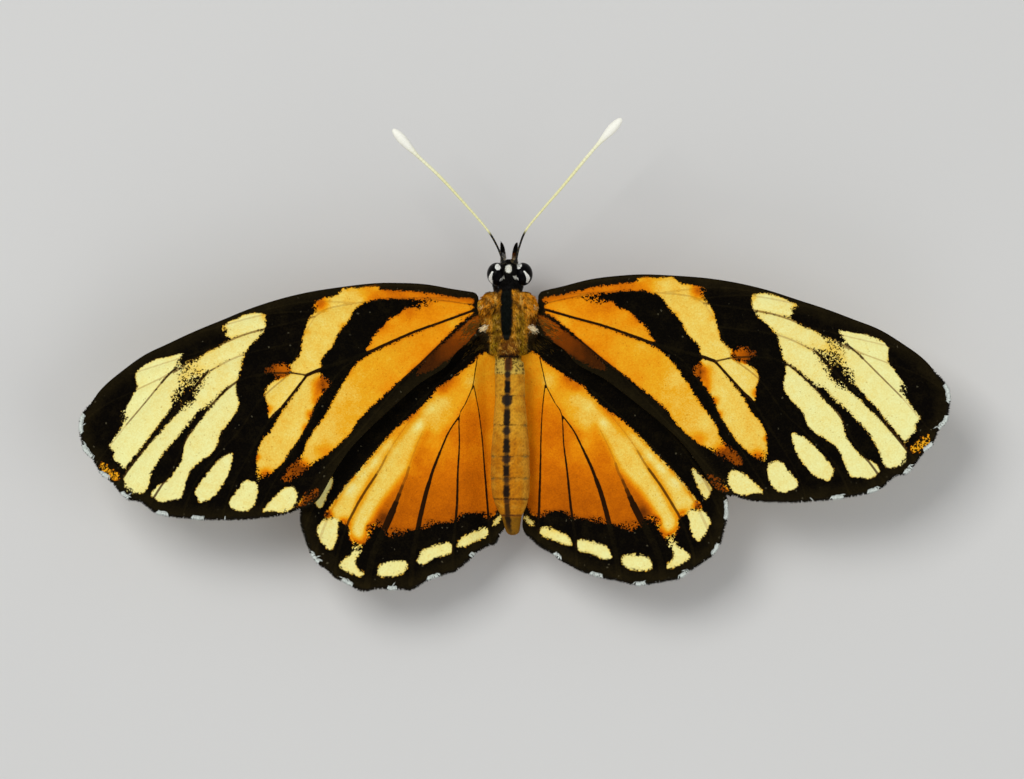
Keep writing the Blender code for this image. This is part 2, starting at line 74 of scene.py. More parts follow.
# Floor, even light as a linear colour, and lamps: name, place in metres, width in metres, power
FLOOR_HALF = 0.9
FLOOR_BELOW = 0.00002
SKY = (0.93, 0.96, 1.0, 1.0)
SKY_STRENGTH = 0.42
LAMPS = (
    ("key", (-0.28, 0.30, 0.62), 0.34, 3.0), ("fill", (0.45, -0.15, 0.5), 0.5, 0.9),
    ("rear", (0.05, -0.6, 0.4), 0.4, 0.6))

# Wing sheets
GRID = 0.12
ROW_SHARE = 0.866
VEIN_STEP = 0.12
VEIN_ROW = 0.13
CROWDED = 0.045
VEIN_GAP = 0.09
RIM_GAP = 0.07
VEIN_RISE = 0.055
VEIN_ROUND = 0.12
PLEAT_SAG = 0.11
SHEET = 0.07
# Wing unwrap: share of the square for the two faces, gap between them in mm, and the rows of the rim
UV_FACES = 0.955
UV_GAP = 0.6
UV_EDGE = 0.005
UV_ROW_LENGTH = 0.9
UV_ROWS_FROM = 0.965
UV_ROW_STEP = 0.008
UV_ROW_WIDTH = 0.006
# Fringe: where the margin carries it, its depth, scales at each place of the rim and their colours
FORE_FRINGE_FROM = (15.6, -4.6)
HIND_FRINGE_FROM = -13.6
HIND_FRINGE_CORNER = (1.6, -16.6)
FRINGE_INSET = 0.24
FRINGE_ROOT = 0.09
FRINGE_ROUNDS = 12
FRINGE_EACH = 6
FRINGE_WIDTH = 0.08
CHECK_WHITE = 0.86
CHECK_DEEPER = 0.08
FRINGE_WHITE = (216, 222, 214)
FRINGE_BLACK = (22, 18, 8)

FORE = dict(
    hinge=(2.4, 0.0), left_hinge=(2.3, -0.07), sweep=math.radians(4.3), below=False,
    outline=(
        (2.2, 0.75), (2.4, 1.04), (3, 1.22), (4, 1.45), (6, 1.95), (8, 2.2), (10, 2.3), (13, 2.15),
        (15, 1.95), (17, 1.6), (19, 1.1), (21, 0.45), (23, -0.2), (25, -0.95), (27, -1.75), (29, -3.0),
        (30, -3.75), (31, -4.7), (31.5, -5.2), (32, -5.9), (32.15, -6.7), (32.05, -7.6), (31.9, -8.4),
        (31.3, -9.1), (30.8, -10.2), (30.2, -10.7), (29.3, -11.9), (28.8, -12.3), (28, -12.5),
        (26.7, -13.5), (24.1, -14.05), (21.5, -14.3), (19.7, -14.35), (17.5, -14.2), (16.5, -13.9),
        (15.9, -13.8), (14.9, -13.1), (13.7, -11.3), (12.5, -9.8), (11, -8.4), (9, -6.8), (7, -5.3),
        (5, -4.2), (4, -3.1), (2.0, -1.9)),
    # each mark: raggedness of its edge in mm, warmth near the root and at the far end, then its rim
    marks=(
        (0.05, 0.95, 0.62, (
            (2.6, 0.6), (4, 0.85), (6, 1.3), (8, 1.62), (9, 1.72), (10, 1.95), (11, 2.05), (12, 2.0),
            (10.5, 1.0), (10, 1.1), (9, 1.13), (8, 1.05), (7, 0.95), (6, 0.8), (5, 0.6), (3, 0.25))),
        (0.05, 0.36, 0.3, (
            (9.4, 2.0), (11, 2.05), (12, 2.0), (12.6, 1.6), (13.4, 1.5), (14.0, 1.3), (14.0, 0.8),
            (14.1, 0.55), (14.6, 0.1), (15.0, -0.8), (15.2, -1.6), (15.45, -2.5), (16.1, -3.1),
            (16.25, -3.6), (15.0, -4.0), (14.0, -3.6), (13.95, -3.0), (13.5, -2.5), (13.0, -2.0),
            (12.6, -1.2), (12.3, -0.8), (11.9, -0.4), (11.6, 0), (11.3, 0.45), (10.8, 0.85),
            (10.3, 1.05))),
        (0.04, 0.26, 0.3, (
            (15.2, -4.0), (16.2, -3.8), (17.0, -4.05), (17.7, -4.45), (18.05, -4.8), (18.15, -5.3),
            (17.95, -6.0), (17.85, -6.9), (17.2, -6.4), (16.2, -5.3), (15.3, -4.3))),
        (0.05, 0.3, 0.36, (
            (14.1, -3.9), (15.0, -4.1), (16, -5.3), (17, -6.6), (17.7, -7.8), (18.2, -8.3), (18.6, -9.0),
            (18.75, -9.8), (18.7, -10.7), (18.4, -11.0), (17.8, -10.85), (17.2, -10.4), (16.7, -9.9),
            (16.2, -9.2), (15.7, -8.5), (15.1, -7.4), (14.7, -6.4), (14.15, -5.65), (13.9, -5.0),
            (13.95, -4.3))),
        (0.05, 0.66, 0.62, (
            (2.7, 0.15), (4, 0.5), (5, 0.62), (5.6, 0.6), (6.2, 0.42), (6.8, 0.32), (7.6, 0.3),
            (8.0, -0.1), (8.8, -0.4), (9.4, -1.0), (10.0, -1.5), (10.3, -2.1), (10.6, -2.55),
            (10.0, -2.6), (8.5, -2.1), (7, -1.6), (5, -0.9), (3.5, -0.4), (2.8, -0.2))),
        (0.05, 0.68, 0.42, (
            (2.8, -0.3), (4.5, -0.8), (6.5, -1.42), (8.5, -2.14), (10.1, -2.74), (11.3, -3.4),
            (12.0, -4.2), (12.6, -5.0), (13.2, -5.9), (14.0, -7.2), (14.7, -8.1), (15.2, -9.0),
            (15.4, -9.6), (15.9, -10.3), (15.3, -10.7), (14.6, -10.3), (13.9, -10.0), (13.0, -9.3),
            (12.2, -8.5), (11.5, -7.5), (10.7, -6.8), (9.7, -6.0), (8.7, -5.2), (8.0, -4.7), (7.2, -4.1),
            (6.2, -3.4), (5.2, -2.4), (4.2, -1.5), (3.3, -0.8), (2.6, -0.4))),
        (0.05, 1.22, 1.66, (
            (2.2, -0.72), (2.8, -0.84), (3.8, -1.56), (4.8, -2.32), (5.8, -3.12), (6.5, -3.8), (7.1, -4.5),
            (6.4, -4.5), (5.6, -4.15), (4.6, -3.6), (3.6, -2.8), (2.6, -1.85))),
        (0.14, 1.05, 1.05, (
            (13.45, -4.6), (13.75, -4.33), (14.1, -4.3), (14.1, -5.25), (13.85, -5.15), (13.55, -4.9))),
        (0.16, 1.2, 1.2, (
            (15.7, -10.2), (16.3, -10.5), (16.9, -11.3), (16.6, -11.5), (16.0, -11.1), (15.4, -10.7))),
        (0.4, 1.22, 1.22, (
            (14.55, -12.44), (14.9, -12.62), (15.5, -12.97), (15.85, -13.3), (15.62, -13.25),
            (15.18, -12.97), (14.82, -12.7))),
        (0.35, 0.45, 0.45, (
            (29.3, -10.3), (29.8, -10.12), (30.2, -9.68), (30.4, -9.42), (30.45, -9.6), (30.12, -10.08),
            (29.72, -10.38), (29.32, -10.48))),
        (0.04, 0.12, 0.14, (
            (17.65, 0.7), (18.2, 0.9), (19, 0.85), (20, 0.5), (20.9, 0.1), (20.7, -0.05), (20.5, -0.15),
            (20.6, -0.6), (20.2, -0.75), (19, -0.5), (18.2, -0.35), (17.8, -0.3), (17.7, 0.2))),
        (0.06, 0.14, 0.2, (
            (18, -0.4), (20, -0.75), (21.3, -1.4), (22, -1.7), (23, -2.3), (24, -2.85), (24.6, -3.5),
            (24.4, -4.1), (23.6, -3.6), (22.7, -3.35), (22, -3.1), (21, -2.6), (19.5, -2.0),
            (19.0, -1.5), (18.3, -0.9))),
        (0.06, 0.14, 0.06, (
            (19.5, -2.0), (20.5, -2.3), (21.5, -2.9), (22.3, -3.4), (22.8, -4.1), (23.2, -4.8),
            (23.4, -5.3), (24.5, -6.0), (25.5, -6.8), (26.3, -7.6), (27.1, -8.4), (27.8, -9.2),
            (28.5, -9.9), (28.85, -10.5), (28.6, -11.3), (28.2, -11.6), (27.5, -11.7), (27.1, -11.2),
            (26.9, -10.5), (26.4, -9.6), (25.8, -8.8), (25.2, -8.2), (24.4, -7.4), (23.6, -6.7),
            (23.0, -6.0), (22.1, -5.6), (21.0, -4.6), (20.1, -4.0), (19.85, -3.4), (19.7, -2.8))),
        (0.04, 0.1, 0.05, (
            (20.15, -4.2), (20.1, -5.0), (19.95, -5.7), (20.2, -6.4), (20.8, -7.1), (21.4, -7.8),
            (21.7, -8.6), (22.3, -9.2), (23.0, -9.6), (23.8, -10.2), (24.2, -10.9), (24.5, -11.7),
            (24.8, -12.3), (25.5, -12.4), (26.2, -12.5), (26.8, -12.1), (26.9, -11.8), (26.4, -11.3),
            (25.6, -10.9), (25.0, -10.2), (24.5, -9.5), (24.3, -8.6), (24.0, -7.9), (23.4, -7.3),
            (22.8, -6.7), (22.1, -5.9), (21.0, -4.9), (20.4, -4.3))),
        (0.05, 0.12, 0.03, (
            (24.2, -3.0), (24.2, -4.0), (24.8, -4.8), (25.1, -5.6), (25.8, -6.4), (26.7, -7.4),
            (27.6, -8.5), (28.3, -9.3), (28.8, -9.8), (29.1, -9.4), (29.5, -9.1), (29.5, -8.6),
            (29.85, -8.1), (29.5, -7.6), (29.0, -6.95), (28.5, -6.2), (28.2, -6.08), (27.5, -5.55),
            (26.5, -4.55), (25.6, -3.65), (24.75, -3.0), (24.3, -2.75))),
        (0.04, 0.05, 0.03, (
            (24.95, -2.98), (25.7, -3.36), (26.66, -3.78), (27.4, -3.96), (27.75, -4.36), (28.35, -5.2),
            (28.5, -5.69), (28.2, -6.15), (27.5, -5.62), (26.54, -4.66), (25.7, -3.8))),
        (0.03, 0.07, 0.05, (
            (24.02, -1.78), (25, -1.95), (26, -2.1), (27, -2.5), (27.5, -2.92), (27.55, -3.4),
            (27.4, -4.06), (26.66, -3.92), (25.7, -3.5), (24.8, -3.0), (24.3, -2.25))),
        (0.04, 0.08, 0.08, (
            (20.6, -9.25), (21.3, -9.45), (22.0, -10.0), (22.7, -10.7), (23.3, -11.4), (23.6, -11.9),
            (23.3, -12.6), (22.8, -12.55), (22.1, -12.2), (21.5, -11.5), (21.0, -10.8), (20.7, -10.0))),
        (0.04, 0.08, 0.08, (
            (18.85, -11.5), (19.2, -11.3), (19.8, -11.3), (20.3, -11.9), (20.9, -12.6), (20.95, -13.1),
            (20.4, -13.4), (19.9, -13.5), (19.4, -13.3), (19.0, -12.8), (18.8, -12.0))),
        (0.04, 0.12, 0.12, (
            (16.1, -12.0), (16.5, -11.9), (17.0, -12.1), (17.5, -12.5), (18.05, -13.0), (18.5, -13.55),
            (17.9, -13.55), (17.2, -13.7), (16.7, -13.7), (16.2, -13.3), (15.95, -12.8))),
        (0.14, 0.98, 1.3, (
            (16.35, -3.4), (16.6, -3.15), (17.2, -3.05), (17.5, -3.3), (17.9, -3.35), (17.9, -3.6),
            (17.5, -3.6), (17.3, -3.9), (16.9, -3.95), (16.5, -3.75))),
    ),
    # warmer or paler places: outward, forward, reach in mm, change of warmth
    warm_places=(
        (13.75, 1.1, 0.5, 0.7), (4.0, -1.1, 0.6, -0.15), (14.3, -4.75, 0.42, 0.55),
        (14.4, -5.4, 0.36, 0.45), (8.4, 1.4, 0.9, 0.2), (10.1, 1.6, 0.7, 0.3),
        (14.45, -5.95, 0.36, 0.45), (14.95, -6.9, 0.32, 0.6), (6.0, -0.1, 0.8, 0.12),
        (15.3, -7.8, 0.28, 0.45), (18.1, -10.9, 0.45, 0.6), (18.7, -9.6, 0.22, 0.5),
        (17.95, -6.3, 0.3, 0.5), (9.5, -3.0, 0.8, -0.08), (12.4, -5.2, 0.8, -0.1),
        (14.5, -8.5, 0.8, -0.12), (15.3, -10.4, 0.35, 0.3), (13.9, -9.6, 0.5, 0.25),
        (7.1, -4.6, 0.6, 0.4), (7.4, 0.1, 0.7, 0.2), (9.3, -0.9, 0.5, 0.2), (6.4, -3.2, 0.8, 0.12),
        (9.2, -5.3, 0.8, 0.1), (20.75, 0.0, 0.22, 0.2), (17.8, 0.6, 0.25, 0.25), (24.0, -7.5, 0.5, 0.1),
        (14.8, -0.9, 0.3, 0.15), (12.2, -0.6, 0.3, 0.12)),
    # places with loose scales across the edge: outward, forward, reach in mm, spread in mm
    dusty_places=(
        (23.5, -3.6, 1.1, 0.85), (24.5, -4.9, 0.8, 0.55), (24.0, -5.6, 0.6, 0.45),
        (23.6, -2.7, 0.6, 0.45), (22.6, -5.2, 1.0, 0.22), (24.2, -6.9, 0.9, 0.2),
        (21.9, -5.6, 0.7, 0.18), (30.0, -10.0, 0.6, 0.5), (28.9, -5.9, 0.5, 0.4),
        (28.6, -11.4, 0.5, 0.3), (15.2, -12.7, 0.7, 0.35), (15.9, -11.0, 0.6, 0.5),
        (15.3, -10.3, 0.6, 0.35), (14.2, 1.0, 0.45, 0.3), (20.9, -0.3, 0.4, 0.25), (6.3, 0.35, 0.9, 0.3),
        (9.8, -1.9, 0.5, 0.2), (12.9, -4.3, 0.6, 0.2), (17.2, -3.4, 0.7, 0.25), (23.5, -1.5, 0.5, 0.25),
        (7.1, -4.6, 0.6, 0.15), (18.4, -10.9, 0.55, 0.4)),
    # each vein: half width of its dark line in mm, how strongly it shows on a light mark, then its path
    veins=(
        (0.07, 0.8, ((2.5, 1.18), (7, 1.92), (12, 2.2), (15, 2.0))),
        (0.05, 0.35, ((2.4, 0.6), (5, 0.9), (9, 1.05), (13, 0.75), (14.2, 0.2))),
        (0.05, 0.25, ((11, 0.95), (15, 1.35), (19, 0.9))),
        (0.05, 0.3, ((13.5, 0.5), (17.5, 0.75), (22.5, -0.2))),
        (0.06, 0.7, ((14.2, 0.2), (18, -0.35), (20.2, -0.9), (23, -2.1), (24.7, -3.1))),
        (0.07, 0.95, ((24.5, -2.8), (25.2, -3.3), (25.7, -3.8))),
        (0.045, 0.75, ((25.7, -3.8), (26.6, -4.7), (27.5, -5.6), (28.5, -6.6))),
        (0.04, 0.3, ((28.5, -6.6), (30.9, -9.4))),
        (0.04, 0.4, ((24.8, -3.0), (25.7, -3.45), (27.3, -4.05), (29.8, -5.0), (31.6, -6.1))),
        (0.04, 0.3, ((22, -1.55), (25, -2.3), (28, -3.0))),
        (0.05, 0.45, ((15.3, -1.5), (19.5, -2.1), (22.3, -3.3))),
        (0.09, 0.95, ((22.3, -3.3), (24.2, -5.3), (26, -7.0), (28, -9.3), (29.5, -11.2))),
        (0.07, 0.9, ((16.2, -3.75), (18.1, -3.7), (20, -4.1), (22, -5.7), (24, -7.9), (25.2, -10.1),
                     (26.3, -11.5), (27.3, -12.9))),
        (0.05, 0.5, ((16.2, -3.75), (18.3, -5.4), (19.9, -7.6), (21.5, -9.1), (23.3, -10.9), (24.2, -12.4),
                     (24.8, -13.7))),
        (0.08, 1.0, ((15.0, -4.0), (17, -6.2), (17.8, -7.0), (19.3, -9.4))),
        (0.04, 0.3, ((19.3, -9.4), (20.5, -11.3), (21.3, -13.0), (21.6, -14.1))),
        (0.05, 0.35, ((10.5, -2.7), (12.6, -3.9), (14.2, -6.0), (15.8, -8.8), (17.2, -10.9), (18.4, -12.8),
                      (18.9, -14.0))),
        (0.11, 1.0, ((2.7, -0.25), (5, -0.9), (7, -1.45), (9, -2.15), (10.5, -2.7), (12.3, -3.2),
                     (14.0, -3.65), (15.0, -4.0))),
        (0.05, 0.9, ((16.2, -3.75), (15.0, -4.0))),
        (0.04, 0.25, ((14.2, 0.2), (15.3, -1.5), (16.2, -3.75))),
        (0.05, 0.5, ((2.7, 0.2), (4.5, 0.6), (6, 0.85))),
        (0.07, 1.0, ((2.5, -0.5), (3.8, -1.38), (4.8, -2.16), (5.8, -2.98), (6.9, -3.9), (8.2, -4.9))),
        (0.05, 0.5, ((8.2, -4.9), (9.5, -6.3), (12, -8.9), (14.5, -11.6), (15.9, -13.5)))),
    # white checks of the fringe: middle of each and half its length along the margin
    checks=(
        (31.9, -6.3, 0.6), (31.7, -8.5, 0.55), (30.45, -10.3, 0.35), (29.1, -11.9, 0.3), (26.5, -13.5, 0.4),
        (23.9, -14.0, 0.4), (21.9, -14.25, 0.15)),
)

HIND = dict(
    hinge=(1.9, -2.8), left_hinge=(1.89, -2.83), sweep=math.radians(3.5), below=True,
    outline=(
        (1.8, -1.75), (4.5, -2.45), (8, -4.4), (11.5, -7.2), (14.3, -10.4), (15.8, -13.3), (16.1, -14.8),
        (15.9, -15.9), (15.5, -17.3), (14.9, -18.2), (13.9, -18.9), (13.2, -19.4), (12.5, -19.9),
        (11.4, -20.1), (10.3, -20.3), (9.4, -20.4), (8.1, -20.1), (7.0, -19.9), (5.9, -19.6),
        (4.9, -19.2), (3.8, -18.6), (3.2, -18.1), (2.3, -17.6), (1.6, -17.0), (1.05, -16.1), (1.25, -14),
        (1.3, -12), (1.15, -9.9), (0.93, -7.8), (0.9, -5.6), (0.75, -4.4), (0.95, -3.4)),
    marks=(
        (0.07, 0.6, 1.1, (
            (1.9, -3.4), (2.6, -4.0), (3.5, -4.6), (4.5, -5.3), (5.4, -5.8), (6, -6.5), (7, -7.4),
            (8, -8.1), (9, -8.9), (10, -9.9), (11, -11.0), (12, -12.0), (13, -13.2), (13.8, -14.2),
            (14.0, -14.7), (13.1, -14.9), (12.4, -15.5), (12.3, -16.3), (11.5, -16.8), (11.0, -16.3),
            (10.9, -15.6), (10.3, -15.3), (9.6, -15.9), (9, -16.0), (7.5, -15.8), (6.5, -15.5),
            (5, -15.4), (4.2, -14.95), (3, -14.9), (2.2, -15.2), (1.4, -14.3), (0.7, -8), (0.6, -3.6))),
        (0.05, 0.6, 0.45, (
            (2.6, -4.2), (4.4, -5.3), (5.5, -6.3), (6.7, -7.6), (6.0, -8.9), (5.2, -9.0), (4.4, -8.3),
            (3.9, -7.6), (3.3, -6.6), (2.8, -5.4))),
        (0.05, 0.42, 0.26, (
            (6.0, -7.3), (7, -8.0), (8.4, -9.2), (10, -11.4), (11.5, -13.9), (12.3, -15.5),
            (12.1, -16.2), (11.6, -16.6), (11.2, -16.1), (10.6, -14.9), (9.6, -13.5), (8.5, -12.3),
            (7.8, -11.3), (7.2, -10.0), (6.5, -8.7))),
        (0.05, 0.5, 0.3, (
            (7.8, -8.1), (9.1, -9.05), (10, -9.95), (11, -11.05), (12, -12.05), (13, -13.25), (13.7, -14.2),
            (13.2, -14.9), (12.25, -15.0), (11.35, -13.3), (10.0, -11.2), (8.3, -9.0))),
        (0.05, 0.12, 0.16, (
            (13.4, -11.8), (13.9, -12.2), (14.6, -12.9), (14.75, -13.4), (14.4, -14.0), (14.1, -13.7),
            (13.7, -12.9), (13.4, -12.2))),
        (0.05, 0.1, 0.1, (
            (13.1, -14.9), (13.6, -14.7), (14.3, -15.0), (14.7, -15.6), (14.5, -16.2), (14.3, -16.6),
            (13.8, -17.05), (13.4, -16.6), (13.2, -15.8))),
        (0.06, 0.1, 0.1, (
            (11.8, -17.0), (12.3, -17.4), (12.9, -17.8), (13.2, -18.2), (12.8, -18.6), (12.2, -18.9),
            (11.7, -19.05), (11.5, -18.85), (12.0, -18.3), (12.0, -17.8), (11.7, -17.3))),
        (0.06, 0.08, 0.08, (
            (8.26, -18.3), (8.7, -18.07), (9.8, -18.13), (10.3, -18.4), (10.4, -19.07), (9.37, -19.18),
            (8.48, -18.9))),
        (0.06, 0.08, 0.08, (
            (4.98, -17.52), (5.26, -16.96), (6.92, -17.35), (7.26, -17.63), (7.53, -18.3), (6.92, -18.35),
            (6.04, -17.96), (5.26, -17.8))),
        (0.06, 0.1, 0.08, (
            (2.26, -16.41), (2.59, -16.02), (3.26, -16.24), (4.26, -16.63), (4.65, -17.3), (4.15, -17.32),
            (3.26, -16.96), (2.59, -16.74))),
        (0.05, 0.15, 0.15, (
            (1.1, -15.2), (1.4, -15.3), (1.75, -15.6), (1.9, -15.95), (1.5, -15.85), (1.2, -15.5))),
    ),
    # warmer or paler places: outward, forward, reach in mm, change of warmth; the paler places at (1.5, -9.5)
    # and (1.6, -12.8) beside the abdomen are painted light against the shade of the abdomen and the fold
    warm_places=(
        (2.9, -5.4, 0.6, -0.2), (4.3, -5.3, 0.5, 0.3), (4.95, -5.85, 0.45, 0.35),
        (6.1, -6.9, 0.6, -0.12), (2.7, -7.6, 0.9, 0.1), (3.3, -9.0, 1.3, 0.2), (3.4, -12.6, 1.3, 0.1),
        (9.75, -14.9, 0.5, 0.3), (10.75, -15.6, 0.32, 0.8), (9.2, -9.8, 0.6, -0.2),
        (5.9, -9.7, 0.9, -0.16), (5.4, -10.5, 0.9, -0.08), (5.0, -6.7, 0.55, -0.12),
        (5.7, -7.5, 0.6, -0.12), (5.2, -9.0, 0.5, 0.08), (1.5, -9.5, 0.7, -0.12),
        (1.6, -12.8, 0.9, -0.14), (7.0, -8.4, 0.5, -0.25), (10.2, -10.9, 0.6, -0.25),
        (11.3, -11.5, 0.6, -0.22), (12.3, -12.6, 0.6, -0.22), (13.8, -14.5, 0.3, 0.5),
        (12.7, -15.0, 0.3, 0.4), (4.5, -15.0, 2.0, 0.1), (6.5, -10.2, 0.7, 0.04),
        (11.7, -16.6, 0.3, 0.3), (7.6, -11.6, 0.6, -0.1)),
    dusty_places=(
        (2.4, -15.1, 0.7, 0.3), (4.6, -15.2, 0.6, 0.25), (6.6, -15.5, 0.8, 0.35),
        (9.0, -15.9, 0.9, 0.45), (9.9, -15.1, 0.6, 0.5), (10.6, -15.6, 0.7, 0.4),
        (11.9, -17.0, 0.5, 0.4), (13.6, -14.6, 0.5, 0.3), (3.0, -16.1, 0.5, 0.14),
        (6.3, -17.2, 0.6, 0.14), (9.3, -18.1, 0.7, 0.14), (5.2, -7.4, 1.2, 0.2),
        (13.0, -18.3, 0.4, 0.1)),
    veins=(
        (0.05, 0.4, ((2.4, -2.8), (5, -3.7), (8.5, -6.1), (11.5, -8.9), (14.0, -12.2), (15.5, -15.2))),
        (0.05, 0.3, ((9.5, -9.35), (10.5, -10.2), (13.0, -13.3), (14.6, -16.4), (14.9, -17.6))),
        (0.04, 0.3, ((2.4, -3.2), (5.5, -5.6), (7.7, -7.5), (9.5, -9.35))),
        (0.035, 0.3, ((6.0, -6.1), (7.7, -8.2), (8.8, -9.6), (9.4, -10.5))),
        (0.045, 0.6, ((9.4, -10.5), (9.8, -11.2), (10.2, -11.8))),
        (0.05, 0.9, ((10.2, -11.8), (11.2, -13.2), (12.0, -14.5), (12.5, -15.4), (13.3, -17.4),
                     (13.6, -19.0))),
        (0.04, 0.3, ((6.7, -9.0), (7.2, -10.0), (7.8, -11.4))),
        (0.06, 0.6, ((7.8, -11.4), (8.0, -12.0), (8.3, -12.6))),
        (0.06, 0.85, ((8.3, -12.6), (8.6, -13.3))),
        (0.085, 0.95, ((8.6, -13.3), (8.85, -13.85))),
        (0.11, 1.0, ((8.85, -13.85), (9.1, -14.4))),
        (0.14, 1.0, ((9.1, -14.4), (9.6, -15.4), (10.8, -17.7), (11.3, -19.8))),
        (0.07, 1.0, ((4.0, -8.0), (4.8, -9.1), (5.5, -10.5))),
        (0.08, 1.0, ((5.5, -10.5), (6.1, -11.8), (6.4, -12.6))),
        (0.1, 1.0, ((6.4, -12.6), (6.7, -13.4), (7.1, -14.8), (7.3, -15.6), (7.8, -17.8), (8.1, -19.8))),
        (0.055, 1.0, ((2.3, -3.7), (2.55, -4.8), (2.8, -5.8), (3.4, -7.0), (3.9, -7.9), (4.05, -10),
                      (4.3, -12), (4.5, -14), (4.65, -15.2), (4.9, -17), (5.0, -18.9))),
        (0.055, 1.0, ((2.7, -5.7), (2.5, -7.5), (2.4, -9.5), (2.35, -12), (2.25, -15), (2.2, -17.2)))),
    checks=(
        (16.05, -14.8, 0.6), (15.25, -17.7, 0.45), (12.9, -19.6, 0.4), (9.6, -20.35, 0.35),
        (6.4, -19.8, 0.45), (3.4, -18.3, 0.3)),
)

# The left wings' marks sit a little off the mirrored ones: outward, forward, then the shift
FORE_LEFT_SHIFTS = (
    (17.0, -13.0, 0.69, -0.3), (20.0, -12.3, 0.65, -0.14), (22.2, -11.2, 0.44, -0.2),
    (21.0, -7.3, 0.42, 0.0), (18.0, -10.2, 0.55, -0.2), (15.3, -10.3, 0.45, -0.05),
    (25.8, -11.8, 0.2, 0.0), (28.0, -11.2, 0.25, -0.05), (19.5, 0.2, 0.2, -0.15),
    (27.0, -7.0, 0.04, -0.05), (24.0, -4.0, 0.1, 0.0), (16.0, -6.0, 0.05, 0.0), (12.0, -6.0, 0.0, 0.0),
    (14.2, -5.0, 0.2, -0.08))
HIND_LEFT_SHIFTS = (
    (1.5, -15.6, -0.1, -0.18), (3.4, -16.6, -0.14, -0.15), (6.2, -17.7, 0.1, -0.17),
    (9.4, -18.7, 0.12, -0.17), (12.5, -18.2, 0.1, -0.15), (14.0, -15.8, 0.15, 0.0),
    (1.7, -11.0, -0.17, 0.0), (4.5, -10.0, 0.0, 0.0))
SHIFT_REACH = 2.6
# The left hindwing's rim bulges between the veins: place on the right wing, reach, then the push
HIND_LEFT_BULGES = (
    (13.6, -19.2, 0.7, 0.12, -0.2), (11.7, -20.0, 0.8, 0.0, -0.35), (8.1, -20.1, 0.75, 0.0, -0.42),
    (4.7, -19.1, 0.7, 0.0, -0.2), (1.7, -17.1, 0.6, -0.15, -0.35), (1.1, -15.9, 0.7, -0.35, -0.1))


def clamp01(value):
    return np.clip(value, 0.0, 1.0)


def smooth(value, low, high):
    """0 below low, 1 above high, and a smooth rise between them."""
    t = clamp01((value - low) / (high - low))
    return t * t * (3 - 2 * t)


def near(value, middle, full, none):
    """1 within full of the middle, 0 beyond none."""
    return 1 - smooth(np.abs(value - middle), full, none)


def bell(places, u, v, reach):
    """1 at one plan place and less around it, within about reach."""
    return np.exp(-((places - (u, v)) ** 2).sum(1) / reach ** 2)


def unit(vectors):
    return vectors / np.maximum(np.linalg.norm(vectors, axis=1), 1e-9)[:, None]


def length_along(path):
    return np.concatenate([[0.0], np.cumsum(np.linalg.norm(np.diff(path, axis=0), axis=1))])


def linear(colour):
    """Scene-linear colour from the 0 to 255 of a screen."""
    c = np.array(colour, float) / 255.0
    return np.where(c <= 0.04045, c / 12.92, ((c + 0.055) / 1.055) ** 2.4)


def coloured(colour, count):
    return np.tile(linear(colour), (count, 1))


def painted(tint, *coats):
    """The tint under coats of paint, each a colour and its weight at every point."""
    for colour, weight in coats:
        tint = tint + clamp01(weight)[:, None] * (linear(colour) - tint)
    return tint


def spline(points, step, closed=False):
    """Places about step apart on a Catmull-Rom curve through the points."""
    p = np.array(points, float)
    ends = np.vstack([p[-1:], p, p[:2]]) if closed else np.vstack([2 * p[0] - p[1], p, 2 * p[-1] - p[-2]])
    made = []
    for a, b, c, d in zip(ends, ends[1:], ends[2:], ends[3:]):
        count = max(1, int(round(np.linalg.norm(c - b) / step)))
        for t in np.arange(count) / count:
            made.append(0.5 * (2 * b + (c - a) * t + (2 * a - 5 * b + 4 * c - d) * t * t
                               + (3 * b - a - 3 * c + d) * t ** 3))
    return np.array(made if closed else made + [p[-1]])


def segment_distance(places, start, end):
    run = end - start
    share = clamp01(((places - start) @ run) / max(run @ run, 1e-12))
    return np.hypot(*(places - start - share[:, None] * run).T)


def path_distance(places, path):
    best = np.full(len(places), 1e3)
    for start, end in zip(path, path[1:]):
        best = np.minimum(best, segment_distance(places, start, end))
    return best


def ring_distance(places, ring, reach=1.3):
    """Distance in mm to a closed ring, above 0 inside it, and no further than reach outside it."""
    found = np.full(len(places), -reach)
    close = np.all((places > ring.min(0) - reach) & (places < ring.max(0) + reach), axis=1)
    spots = places[close]
    best = np.full(len(spots), 1e3)
    inside = np.zeros(len(spots), bool)
    for start, end in zip(ring, np.roll(ring, -1, axis=0)):
        best = np.minimum(best, segment_distance(spots, start, end))
        if start[1] != end[1]:
            crosses = (start[1] > spots[:, 1]) != (end[1] > spots[:, 1])
            at = start[0] + (spots[:, 1] - start[1]) * (end[0] - start[0]) / (end[1] - start[1])
            inside ^= crosses & (spots[:, 0] < at)
    found[close] = np.where(inside, best, np.maximum(-best, -reach))
    return found


def wing_height(places, below):
    """Height of a wing's middle surface, as in the solids."""
    out = np.abs(places[:, 0])
    height = FOREWING_ROOT_Z + WING_RISE * out - WING_DROOP * out * out
    if not below:
        return height
    share = smooth(out, ANAL_FOLD_FROM, ANAL_FOLD_FROM + ANAL_FOLD_WIDTH)
    behind = clamp01((-3.0 - places[:, 1]) / 2.5)
    return height - HINDWING_BELOW - ANAL_FOLD_DROP * (1 - share) * behind


